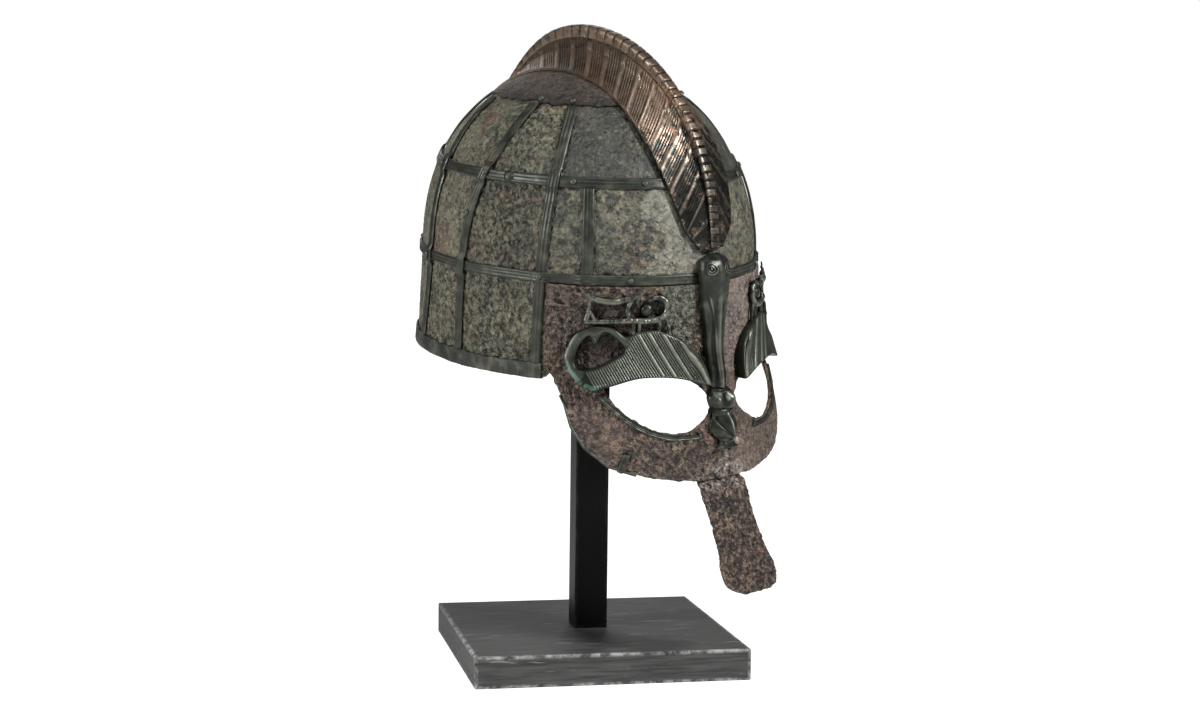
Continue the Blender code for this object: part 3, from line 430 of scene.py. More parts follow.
# drawn bronze strip under a dark green patina, ridged along its length, satin
stripBronze = patina({
    "name": "bronze_strip_green", "painted_highlight": "5a5d50", "tone": "282c26", "second": "30322a", "stain": "352f27", "stainFrom": 0.58,
    "dark": "131411", "worn": "65685a", "patchMm": 18.0, "stainMm": 24.0, "speckleMm": 1.2, "speckleShare": 0.22,
    "crustMm": 4.0, "reliefMm": 5.0, "reliefShadeLow": 0.8, "reliefShadeHigh": 1.2, "crustDepth": 0.4, "pitMm": 3.2, "pitSize": 0.20, "pitShare": 0.5, "cavityFull": 0.5,
    "cavityShare": 0.7, "wearShare": 0.40, "roughness": 0.42, "metallic": 0.55, "grainMm": 0.7, "grainDepth": 0.10,
})
# cast bronze, chased and handled smooth: dark green, nearly black in its hollows, glossy on its ridges
castBronze = patina({
    "name": "cast_bronze_dark_green", "painted_highlight": "4c5248", "tone": "232721", "second": "2c2f27", "stain": "302c26", "stainFrom": 0.60,
    "dark": "0b0d0b", "worn": "8d9082", "tint_and_shade": "4f6b5f", "patchMm": 20.0, "stainMm": 20.0, "speckleMm": 1.4,
    "speckleShare": 0.18, "crustMm": 4.0, "reliefMm": 5.0, "reliefShadeLow": 0.8, "reliefShadeHigh": 1.2, "crustDepth": 0.3, "pitMm": 4.0, "pitSize": 0.16, "pitShare": 0.4,
    "cavityFull": 0.4, "cavityShare": 0.85, "wearShare": 0.40, "roughness": 0.38, "metallic": 0.70,
    "grainMm": 0.8, "grainDepth": 0.05,
})
# cast bronze of the crest: brown where the patina is thin, with painted shade, near black, over its front
crestBronze = patina({
    "name": "cast_bronze_brown", "painted_highlight": "8a7869", "tone": "735f52", "second": "625749", "stain": "765b4a", "stainFrom": 0.58,
    "dark": "110e0c", "worn": "9c8d7e", "tint_and_shade": "1f201c", "patchMm": 22.0, "stainMm": 22.0, "speckleMm": 1.5,
    "speckleShare": 0.20, "crustMm": 4.0, "reliefMm": 5.0, "reliefShadeLow": 0.8, "reliefShadeHigh": 1.2, "crustDepth": 0.3, "pitMm": 4.0, "pitSize": 0.18, "pitShare": 0.5,
    "cavityFull": 0.4, "cavityShare": 0.8, "wearShare": 0.35, "roughness": 0.36, "metallic": 0.80,
    "grainMm": 0.8, "grainDepth": 0.06,
})


def stainedWood(look):
    # open-grained board under black stain: fine streaks along X, pale scratches and worn edges
    material, tree, shader = newMaterial(look["name"])
    place = addNode(tree, "ShaderNodeTexCoord").outputs["Object"]
    turned = addNode(
        tree, "ShaderNodeMapping", {"Vector": place, "Rotation": (0.0, 0.0, math.radians(30.65))}
    ).outputs[0]
    stretched = addNode(tree, "ShaderNodeMapping", {"Vector": turned, "Scale": look["stretch"]}).outputs[0]
    grain = addNode(
        tree, "ShaderNodeTexNoise",
        {"Vector": stretched, "Scale": 1000 / look["grainMm"], "Detail": 5.0, "Roughness": 0.62},
    ).outputs["Fac"]
    tones = addNode(tree, "ShaderNodeValToRGB", {"Fac": grain})
    tones.color_ramp.elements[0].position = 0.30
    tones.color_ramp.elements[0].color = linear(look["dark"])
    tones.color_ramp.elements[1].position = 0.72
    tones.color_ramp.elements[1].color = linear(look["light"])
    scratchPlace = addNode(tree, "ShaderNodeMapping", {"Vector": turned, "Scale": look["scratchStretch"]}).outputs[0]
    scratch = addNode(
        tree, "ShaderNodeTexNoise",
        {"Vector": scratchPlace, "Scale": 1000 / look["scratchMm"], "Detail": 2.0, "Roughness": 0.5},
    ).outputs["Fac"]
    scratches = addNode(
        tree, "ShaderNodeMapRange", {"Value": scratch, "From Min": look["scratchFrom"], "From Max": look["scratchFrom"] + 0.05}
    ).outputs["Result"]
    mixed = addNode(tree, "ShaderNodeMix", data_type="RGBA")
    tree.links.new(scratches, mixed.inputs[0])
    tree.links.new(tones.outputs[0], mixed.inputs[6])
    mixed.inputs[7].default_value = linear(look["pale"])
    rubbed = addNode(tree, "ShaderNodeAttribute", attribute_name="wear").outputs["Fac"]
    patchy = addNode(tree, "ShaderNodeTexNoise", {"Vector": place, "Scale": 1000 / 7.0, "Detail": 6.0, "Roughness": 0.7}).outputs["Fac"]
    patchy = addNode(tree, "ShaderNodeMapRange", {"Value": patchy, "From Min": 0.42, "From Max": 0.60}).outputs["Result"]
    edges = addNode(tree, "ShaderNodeMath", {0: rubbed, 1: patchy}, operation="MULTIPLY").outputs[0]
    edged = addNode(tree, "ShaderNodeMix", {0: edges, 6: mixed.outputs[2], 7: linear(look["worn"])}, data_type="RGBA")
    tree.links.new(edged.outputs[2], shader.inputs["Base Color"])
    shader.inputs["Roughness"].default_value = look["roughness"]
    shader.inputs["Specular IOR Level"].default_value = look["specular"]
    bump = addNode(
        tree, "ShaderNodeBump", {"Height": grain, "Distance": look["grainDepth"] / 1000, "Strength": 0.8}
    )
    tree.links.new(bump.outputs[0], shader.inputs["Normal"])
    return material


# oak board stained black, matt, the grain showing grey
baseWood = stainedWood({
    "name": "black_stained_oak", "dark": "191919", "light": "474645", "pale": "6a6866", "stretch": (0.06, 1.0, 1.0),
    "grainMm": 2.0, "scratchStretch": (0.10, 1.0, 1.0), "scratchMm": 3.0, "scratchFrom": 0.66, "roughness": 0.60,
    "specular": 0.35, "grainDepth": 0.30, "worn": "8b8987",
})
# the post is painted satin black over close-grained wood, its grain upright
postWood = stainedWood({
    "name": "satin_black_painted_wood", "dark": "020202", "light": "050505", "pale": "090909",
    "stretch": (1.0, 1.0, 0.05), "grainMm": 2.4, "scratchStretch": (1.0, 1.0, 0.1), "scratchMm": 4.0,
    "scratchFrom": 0.75, "roughness": 0.45, "specular": 0.10, "grainDepth": 0.05, "worn": "1c1c1c",
})
report("materials")


# the bowl: crusted sheet iron, a dense outer face bridged at the rim to a plainer inner one

bowlLook = {
    "columns": 520,
    "rows": 165,
    "innerColumns": 104,
    "innerRows": 34,
    "wave": 0.00035,
    "crumb": 0.00085,
    "pit": 0.0009,
    "flakeStep": 0.00045,
    "frontRimEnd": 58.0,
}
# how crumbly each panel is: the angle it ends at, then crown, middle and wall rows
panels = [
    {"end": 15, "crown": 0.15, "middle": 0.25, "wall": 0.3},
    {"end": 46, "crown": 0.18, "middle": 0.45, "wall": 0.4},
    {"end": 60, "crown": 0.20, "middle": 0.35, "wall": 0.5},
    {"end": 90, "crown": 0.80, "middle": 1.00, "wall": 0.85},
    {"end": 114, "crown": 0.35, "middle": 0.40, "wall": 0.70},
    {"end": 146, "crown": 0.30, "middle": 0.55, "wall": 0.55},
    {"end": 181, "crown": 0.45, "middle": 0.50, "wall": 0.60},
]


def crumbleAt(angle, z):
    # the wearer's left side kept a smoother skin
    turn = np.abs((angle + 180) % 360 - 180)
    middle = [0.0] + [row["end"] for row in panels[:-1]]
    middle = np.array([(start + row["end"]) / 2 for start, row in zip(middle, panels)])
    crown, hoop, wall = (np.interp(turn, middle, [row[key] for row in panels]) for key in ("crown", "middle", "wall"))
    high = softStep((z - shape["upperHoopRise"]) / 0.012 + 0.5)
    low = softStep(-z / 0.012 + 0.5)
    level = hoop * (1 - high) * (1 - low) + crown * high + wall * low
    onLeft = ((angle + 180) % 360 - 180) < 0
    return np.where(onLeft, level * 0.55, level)


def profileHeights(count):
    # heights from the rim to the crown, evenly spaced along the wall
    fine = np.linspace(0, 1, 4000)
    dome = shape["crownHeight"] * np.sin(fine * math.pi / 2) ** (2 / shape["fullness"])
    z = np.concatenate([np.linspace(-shape["rimDrop"], 0, 1000, endpoint=False), dome])
    y = shape["halfLength"] * shellShare(z)
    run = np.concatenate([[0], np.cumsum(np.hypot(np.diff(y), np.diff(z)))])
    return np.interp(np.linspace(0, run[-1], count), run, z)


def rimHeight(angle, z):
    # the rim is higher behind the visor
    turn = np.abs((angle + 180) % 360 - 180)
    raised = softStep((bowlLook["frontRimEnd"] - turn) / 2.0 + 0.5)
    lift = (shape["rimDrop"] - shape["frontRimDrop"]) * raised
    return np.where(z < 0, z * (1 - lift / shape["rimDrop"]), z)


def flakeMask(angle, z, points):
    # the whole grey skin by the crest, whose outer edge is broken and stands a little proud
    edge = 24.5 + 3.5 * np.sin(z * 160 + 1.0) + 5.0 * clouds(points, 0.010, 3, 4)
    side = softStep((edge - angle) / 0.2) * softStep((angle - 1.0) / 3.0)
    return side * softStep((z - 0.002) / 0.003) * softStep((0.056 - z) / 0.004)


def makeBowl():
    angle = np.linspace(-180, 180, bowlLook["columns"] + 1)
    z = profileHeights(bowlLook["rows"])
    angle, z = (grid.ravel() for grid in np.meshgrid(angle, z))
    z = rimHeight(angle, z)
    flat = shellPoint(angle, z)
    wave = clouds(flat, 0.030, 2, 1)
    rough = np.clip(crumbleAt(angle, z) + 0.35 * clouds(flat, 0.020, 2, 2), 0.05, 1.2)
    crumb = creases(flat, 0.0040, 2, 3) - 0.70
    fine = clouds(flat, 0.0022, 2, 5)
    holes = pits(flat, 0.0042, 0.30, 6)
    flake_and_painted_light = flakeMask(angle, z, flat)
    rough = rough * (1 - 0.6 * flake_and_painted_light)
    away = bowlLook["wave"] * wave + rough * bowlLook["crumb"] * (0.9 * crumb + 0.45 * fine - 0.12)
    away -= bowlLook["pit"] * holes * (0.35 + 0.65 * np.clip(rough, 0, 1))
    away += bowlLook["flakeStep"] * flake_and_painted_light
    away = np.clip(away, -0.0013, 0.0006)
    top = softStep((z - shape["crownPlateRise"] - 0.001) / 0.004)
    away = away * (1 - top) - 0.0002
    away = np.where(np.abs(angle) < 25, np.minimum(away, 0.0003), away)
    grid = shellPoint(angle, z, away).reshape(bowlLook["rows"], bowlLook["columns"] + 1, 3)
    grid[:, -1] = grid[:, 0]
    grid[-1] = grid[-1].mean(0)
    outer = gridSheet("bowl_shell", grid)

    angle = np.linspace(-180, 180, bowlLook["innerColumns"] + 1)
    angle, z = (part.ravel() for part in np.meshgrid(angle, profileHeights(bowlLook["innerRows"])))
    z = rimHeight(angle, z)
    inward = -shape["wall"] + 0.0001 * clouds(shellPoint(angle, z), 0.012, 2, 8)
    grid = shellPoint(angle, z, inward).reshape(bowlLook["innerRows"], bowlLook["innerColumns"] + 1, 3)
    grid[:, -1] = grid[:, 0]
    grid[-1] = grid[-1].mean(0)
    inner = gridSheet("bowl_inside", grid)
    selectOnly(outer)
    inner.select_set(True)
    bpy.ops.object.join()
    selectOnly(outer)
    bpy.ops.object.mode_set(mode="EDIT")
    bpy.ops.mesh.select_mode(type="EDGE")
    bpy.ops.mesh.select_all(action="DESELECT")
    bpy.ops.mesh.select_non_manifold(extend=False, use_wire=False, use_multi_face=False, use_non_contiguous=False, use_verts=False)
    bpy.ops.mesh.bridge_edge_loops()
    bpy.ops.mesh.select_all(action="SELECT")
    bpy.ops.mesh.normals_make_consistent(inside=False)
    bpy.ops.object.mode_set(mode="OBJECT")
    markBowl(outer)
    return finishPiece(outer, bowlIron, ["bowl"])


def shellOffset(points):
    # how far each point of the helmet's own frame lies outside the bowl's true face, near enough
    ring = np.hypot(points[:, 0] / shape["halfWidth"], points[:, 1] / shape["halfLength"])
    z = points[:, 2]
    wall = (ring - shellShare(z)) * (shape["halfLength"] + shape["halfWidth"]) / 2
    rise = np.clip(z / shape["crownHeight"], 0, None)
    level = (ring ** shape["fullness"] + rise ** shape["fullness"]) ** (1 / shape["fullness"])
    dome = (level - 1) * np.linalg.norm(points, axis=1)
    return np.where(z > 0, dome, wall)


def markBowl(bowl):
    # cavity tone from how deep the crust lies, and the light flake
    points = pointsOf(bowl)
    away = shellOffset(points)
    depth = np.clip((-away - 0.00025) / 0.0008, -1, 1)
    depth = np.where(away < -0.0016, 0.15, depth)
    angle = np.degrees(np.arctan2(-points[:, 0] / shape["halfWidth"], -points[:, 1] / shape["halfLength"]))
    setAttribute(bowl, "depth", depth)
    rough = np.clip(crumbleAt(angle, points[:, 2]) * 1.15 + 0.25 * clouds(points, 0.020, 2, 2), 0.12, 1.0)
    setAttribute(bowl, "rough", np.where(away > -0.0016, rough, 0.15))
    high = softStep((points[:, 2] - shape["upperHoopRise"]) / 0.004 + 0.5)
    front = softStep((62 - angle) / 3) * softStep((angle + 60) / 3) * softStep(points[:, 2] / 0.004)
    setAttribute(bowl, "tint_and_shade", np.clip(front * (0.66 + 0.34 * high), 0, 1))
    setAttribute(bowl, "flake_and_painted_light", np.where(away > -0.0016, 0.75 * flakeMask(angle, points[:, 2], shellPoint(angle, points[:, 2])), 0))


makeBowl()
report("bowl")


crownLook = {"columns": 300, "rows": 64, "lift": 0.0015, "wall": 0.0011, "ragged": 0.0011, "pit": 0.0004}


def makeCrownPlate():
    angle = np.linspace(-180, 180, crownLook["columns"] + 1)
    turns = np.arcsin((shape["crownPlateRise"] / shape["crownHeight"]) ** (shape["fullness"] / 2))
    share = np.linspace(0, 1, crownLook["rows"])
    z = shape["crownHeight"] * np.sin(turns + (math.pi / 2 - turns) * share) ** (2 / shape["fullness"])
    angle, z = (grid.ravel() for grid in np.meshgrid(angle, z))
    flat = shellPoint(angle, z)
    edge = softStep(1 - (z - shape["crownPlateRise"]) / 0.006)
    z = z + edge * crownLook["ragged"] * clouds(flat, 0.011, 3, 11) * 1.4
    away = crownLook["lift"] + 0.00018 * clouds(flat, 0.009, 3, 12) - crownLook["pit"] * pits(flat, 0.0040, 0.25, 13)
    away -= edge * 0.0003
    grid = shellPoint(angle, z, away).reshape(crownLook["rows"], crownLook["columns"] + 1, 3)
    grid[:, -1] = grid[:, 0]
    grid[-1] = grid[-1].mean(0)
    plate = gridSheet("crown_plate_sheet", grid)
    depth = np.clip((crownLook["lift"] - 0.0001 - shellOffset(pointsOf(plate))) / 0.0006, -0.5, 1)
    setAttribute(plate, "depth", depth)
    setAttribute(plate, "rough", np.full(len(depth), 0.55))
    applyModifier(plate, "SOLIDIFY", thickness=crownLook["wall"], offset=-1.0)
    return finishPiece(plate, crownIron, ["crown_plate"])


makeCrownPlate()
report("crown plate")


# the framing strips: each is a flat bronze strip with three low ridges along it

stripLook = {"ridges": 3, "ridgeHeight": 0.00028, "edge": 0.00045, "points": 13, "step": 0.0016, "waver": 0.00018}
uprights = [
    {"name": "front", "crown": 55.6, "upper": 58.6, "hoop": 61.2, "rim": 62.2, "over": False},
    {"name": "side", "crown": 79.0, "upper": 87.3, "hoop": 91.8, "rim": 92.0, "over": True},
    {"name": "rear_side", "crown": 119.0, "upper": 114.2, "hoop": 112.4, "rim": 116.5, "over": True},
    {"name": "rear", "crown": 147.0, "upper": 146.0, "hoop": 145.0, "rim": 147.0, "over": False},
]
shortUpright = 46.0
stepLook = {"flat": 0.0040, "end": 0.0066}
bindingLook = {"height": 0.0085, "wall": 0.0010, "end": 60.0, "ragged": 0.0010}


def stripSection():
    # across from -0.5 to 0.5 and height in metres: a flat back, rounded edges, ridged face
    across = np.linspace(-0.5, 0.5, stripLook["points"])
    wave = 0.5 + 0.5 * np.cos(across * 2 * math.pi * stripLook["ridges"])
    height = shape["stripWall"] - stripLook["ridgeHeight"] * (1 - wave)
    height -= stripLook["edge"] * softStep((np.abs(across) - 0.40) / 0.10)
    return across, height, (1 - wave)


def stepOver(distance):
    return softStep((stepLook["end"] - np.abs(distance)) / (stepLook["end"] - stepLook["flat"]))


def makeStrip(name, angle, z, width, away, material, replaced, alongHoop, ring=False):
    # sections along a path over the bowl: along a hoop the width lies up and down, else sideways
    across, height, groove = stripSection()
    middle = shellPoint(angle, z)
    seed = sum(ord(letter) for letter in name) % 17
    width = width * (1 + 0.05 * clouds(middle, 0.016, 2, seed))
    lift = away + stripLook["waver"] * np.abs(clouds(middle, 0.014, 2, seed + 3))
    rows = []
    for side, level in ((across, height), (across[::-1], np.zeros_like(height))):
        offset = lift[:, None] + level[None, :]
        if alongHoop:
            rows.append(shellPoint(angle[:, None], z[:, None] + side[None, :] * width[:, None], offset))
        else:
            spread = degreesAcross(angle, z, 1.0)[:, None] * side[None, :] * width[:, None]
            rows.append(shellPoint(angle[:, None] + spread, z[:, None], offset))
    grid = np.concatenate(rows, axis=1)
    if ring:
        grid = np.concatenate([grid, grid[:1]], axis=0)
        piece = gridSheet(name, np.concatenate([grid, grid[:, :1]], axis=1))
    else:
        piece = tubeSheet(name, grid)
    bloom = 0.5 * clouds(pointsOf(piece), 0.006, 2, seed + 5)
    setAttribute(piece, "depth", np.clip(bloom + 0.05, -0.5, 0.5))
    return finishPiece(piece, material, replaced, angle=40.0)


def uprightAngle(row, z):
    line = [
        {"z": -shape["rimDrop"], "angle": row["rim"]},
        {"z": 0.0, "angle": row["hoop"]},
        {"z": shape["upperHoopRise"], "angle": row["upper"]},
        {"z": shape["crownPlateRise"], "angle": row["crown"]},
    ]
    return readTable(line, "z", "angle", z)


def makeFraming():
    layer = shape["stripWall"] + shape["gap"]
    count = 420
    angle = np.linspace(-180, 180, count, endpoint=False)
    flat = np.zeros(count)
    makeStrip("upper_hoop_strip", angle, flat + shape["upperHoopRise"], shape["hoopWidth"], flat + shape["gap"],
              stripBronze, ["upper_hoop"], True, ring=True)
    lift = flat.copy()
    crossed = [row["hoop"] for row in uprights if not row["over"]] + [shortUpright]
    for centre in crossed + [-turn for turn in crossed]:
        distance = np.abs((angle - centre + 180) % 360 - 180) / degreesAcross(centre, 0.0, 1.0)
        lift = np.maximum(lift, stepOver(distance))
    makeStrip("brow_hoop_strip", angle, flat, shape["hoopWidth"], shape["gap"] + layer * lift,
              stripBronze, ["lower_hoop"], True, ring=True)
    for side, word in ((1, "right"), (-1, "left")):
        for row in uprights:
            z = profileHeights(170)
            low = -shape["rimDrop"] + bindingLook["height"] + shape["gap"]
            z = np.concatenate([[low], z[(z > low + 0.0005) & (z < shape["crownPlateRise"] - 0.0012)], [shape["crownPlateRise"] - 0.001]])
            lift = stepOver(z - shape["upperHoopRise"])
            if row["over"]:
                lift = np.maximum(lift, stepOver(z))
            makeStrip(f"upright_{row['name']}_{word}_strip", side * uprightAngle(row, z), z, shape["uprightWidth"],
                      shape["gap"] + layer * lift, stripBronze, [f"upright_{row['name']}_{word}"], False)
        z = np.linspace(-shape["hoopWidth"] / 2, shape["upperHoopRise"] - shape["hoopWidth"] / 2 - shape["gap"], 44)
        makeStrip(f"upright_short_{word}_strip", side * shortUpright + 0 * z, z, shape["uprightWidth"],
                  shape["gap"] + 0 * z, stripBronze, [f"upright_short_{word}"], False)


makeFraming()
report("framing strips")


def makeRimBinding():
    # a folded bronze channel over the rim, its upper edge eaten away
    angle = np.linspace(bindingLook["end"], 360 - bindingLook["end"], 520)
    line = shellPoint(angle, -shape["rimDrop"])
    bite = bindingLook["ragged"] * clouds(line, 0.005, 3, 21)
    lump = 0.0004 * clouds(line, 0.008, 3, 22)
    foot = -shape["rimDrop"] - shape["gap"]
    top = -shape["rimDrop"] + bindingLook["height"] + bite
    wall = bindingLook["wall"]
    outer = shape["gap"]
    inner = -shape["wall"] - shape["gap"]
    corners = [
        (foot - wall * 0.55 + lump, outer + wall * 0.9), (foot - wall * 0.2, outer + wall + lump), (foot + wall, outer + wall * 1.1),
        ((foot + top) / 2, outer + wall * 0.85 + lump), (top - wall * 0.5, outer + wall * 0.9), (top, outer + wall * 0.45),
        (top, outer), (foot, outer), (foot, inner), (top, inner), (top - wall * 0.3, inner - wall), (foot, inner - wall),
        (foot - wall * 0.7, inner - wall * 0.6), (foot - wall + lump, (inner + outer) / 2),
    ]
    grid = np.stack([shellPoint(angle, z + 0 * angle, away + 0 * angle) for z, away in corners], axis=1)
    piece = tubeSheet("rim_binding_channel", grid)
    setAttribute(piece, "depth", np.clip(clouds(pointsOf(piece), 0.006, 3, 23), -0.5, 0.6))
    return finishPiece(piece, stripBronze, ["rim_binding"], angle=35.0)


makeRimBinding()
report("rim binding")

rivetLook = {"radius": 0.0019, "rise": 0.00135, "segments": 20, "rings": 14}
rivetRows = [
    {"angle": 61.3, "rise": 0.00, "layers": 2},
    {"angle": 32.0, "rise": 0.00, "layers": 1},
    {"angle": 112.5, "rise": 0.00, "layers": 2},
    {"angle": 91.0, "rise": 0.57, "layers": 1},
    {"angle": 86.4, "rise": 1.00, "layers": 2},
    {"angle": 76.0, "rise": 1.00, "layers": 1},
    {"angle": 51.5, "rise": 1.00, "layers": 1},
    {"angle": 25.5, "rise": 1.00, "layers": 1},
    {"angle": 115.2, "rise": 1.00, "layers": 2},
    {"angle": 76.0, "rise": 1.77, "layers": 1},
    {"angle": 56.0, "rise": 1.77, "layers": 1},
]


def makeRivets():
    for side, word in ((1, "right"), (-1, "left")):
        for number, row in enumerate(rivetRows, 1):
            z = row["rise"] * shape["upperHoopRise"]
            away = shape["gap"] + row["layers"] * (shape["stripWall"] + shape["gap"])
            seat = Vector(shellPoint(side * row["angle"], z, away))
            outward = Vector(shellPoint(side * row["angle"], z, 1.0) - shellPoint(side * row["angle"], z))
            deselectAll()
            bpy.ops.mesh.primitive_uv_sphere_add(
                segments=rivetLook["segments"], ring_count=rivetLook["rings"], radius=rivetLook["radius"]
            )
            rivet = bpy.context.object
            rivet.name = rivet.data.name = f"rivet_head_{word}_{number}"
            bpy.ops.object.mode_set(mode="EDIT")
            bpy.ops.mesh.select_all(action="SELECT")
            bpy.ops.mesh.bisect(plane_co=(0, 0, -0.0001), plane_no=(0, 0, 1), use_fill=True, clear_inner=True)
            bpy.ops.object.mode_set(mode="OBJECT")
            points = pointsOf(rivet)
            points *= (1 + 0.10 * clouds(points + number * 0.01, 0.0022, 2, number))[:, None]
            lump = word == "right" and number == 6
            points[:, 2] *= rivetLook["rise"] / rivetLook["radius"] * (1.25 if lump else 1.0)
            if lump:  # this one sits under a knot of corrosion
                points[:, :2] *= 1.75
                points += 0.0005 * np.stack([clouds(points, 0.0014, 2, k) for k in (1, 2, 3)], 1)
            setPoints(rivet, points)
            rivet.data.transform(Matrix.Translation(seat) @ outward.to_track_quat("Z", "Y").to_matrix().to_4x4())
            setAttribute(rivet, "depth", np.full(len(rivet.data.vertices), 0.2 if lump else -0.3))
            finishPiece(rivet, stripBronze, [f"rivet_{word}_{number}"], angle=60.0)


makeRivets()
report("rivets")


# the crest: a hollow casting with slanted flutes on its flanks and a narrow ribbed ridge

crestLook = {
    "turn": -2.1,
    "height": 0.0250,
    "halfWidth": 0.0258,
    "bandWidth": 0.0086,
    "bandShare": 0.36,
    "webShare": 0.72,
    "edge": 0.0011,
    "hollow": 1.9,
    "slant": 14.0,
    "rows": 1040,
    "flankColumns": 30,
    "period": 7.2,
    "ribShare": 0.42,
    "ribHeight": 0.00115,
    "lineCount": 4,
    "lineHeight": 0.00046,
    "ridgePitch": 0.0052,
    "ridgeHeight": 0.00050,
}
crestRows = [
    {"angle": 8.6, "height": 0.19, "width": 0.36},
    {"angle": 16.0, "height": 0.25, "width": 0.56},
    {"angle": 25.0, "height": 0.36, "width": 0.78},
    {"angle": 37.0, "height": 0.47, "width": 0.94},
    {"angle": 50.0, "height": 0.60, "width": 1.02},
    {"angle": 66.0, "height": 0.78, "width": 1.00},
    {"angle": 81.0, "height": 0.93, "width": 0.98},
    {"angle": 94.0, "height": 1.00, "width": 0.98},
    {"angle": 106.0, "height": 0.90, "width": 0.98},
    {"angle": 115.0, "height": 0.71, "width": 0.98},
    {"angle": 125.0, "height": 0.46, "width": 0.97},
    {"angle": 140.0, "height": 0.28, "width": 0.92},
    {"angle": 158.0, "height": 0.20, "width": 0.80},
    {"angle": 173.0, "height": 0.14, "width": 0.58},
]


def ridgeTurned(x, y):
    # a point laid out straight ahead, turned with the crest's own middle line
    turn = math.radians(crestLook["turn"])
    return x * math.cos(turn) - y * math.sin(turn), x * math.sin(turn) + y * math.cos(turn)


def crestShellPoint(angle, across, offset):
    # the bowl's outer face at a distance across the crest, at an angle over the front level line
    angle, across = np.broadcast_arrays(angle, across)
    turn = np.radians(angle)
    low = np.zeros(turn.shape)
    high = np.full(turn.shape, shape["halfLength"] + shape["crownHeight"])
    for _ in range(34):
        reach = (low + high) / 2
        x, y = ridgeTurned(across, -reach * np.cos(turn))
        ring = np.hypot(x / shape["halfWidth"], y / shape["halfLength"])
        rise = np.maximum(reach * np.sin(turn) / shape["crownHeight"], 0)
        outside = ring ** shape["fullness"] + rise ** shape["fullness"] > 1
        high = np.where(outside, reach, high)
        low = np.where(outside, low, reach)
    z = reach * np.sin(turn)
    return np.stack([x, y, z], -1) + shellNormal(x, y, z) * np.asarray(offset)[..., None]


def crestPoint(angle, across, height):
    turn = np.radians(angle)
    seat = crestShellPoint(angle, 0.0 * np.asarray(angle), 2 * shape["gap"] + shape["stripWall"])
    x, y = ridgeTurned(across, -height * np.cos(turn))
    return seat + np.stack(np.broadcast_arrays(x, y, height * np.sin(turn)), -1)


def fluteWave(angle):
    # 1 on a broad rib, small lines between the ribs, and how much of a hollow the place is
    period = np.where(angle < 118, crestLook["period"], crestLook["period"] * 0.75)
    phase = ((angle - 10.0) / period) % 1.0
    rib = crestLook["ribShare"]
    broad = np.sin(np.clip(phase / rib, 0, 1) * math.pi) ** 0.7
    lines = np.clip((phase - rib) / (1 - rib), 0, 1)
    fine = 0.5 - 0.5 * np.cos(lines * 2 * math.pi * crestLook["lineCount"])
    fine = np.where((phase > rib), fine, 0.0)
    rise = crestLook["ribHeight"] * np.where(phase <= rib, broad, 0.0) + crestLook["lineHeight"] * fine
    hollow = np.where(phase <= rib, 1 - 1.6 * broad, 0.75 - 0.9 * fine)
    return rise, hollow


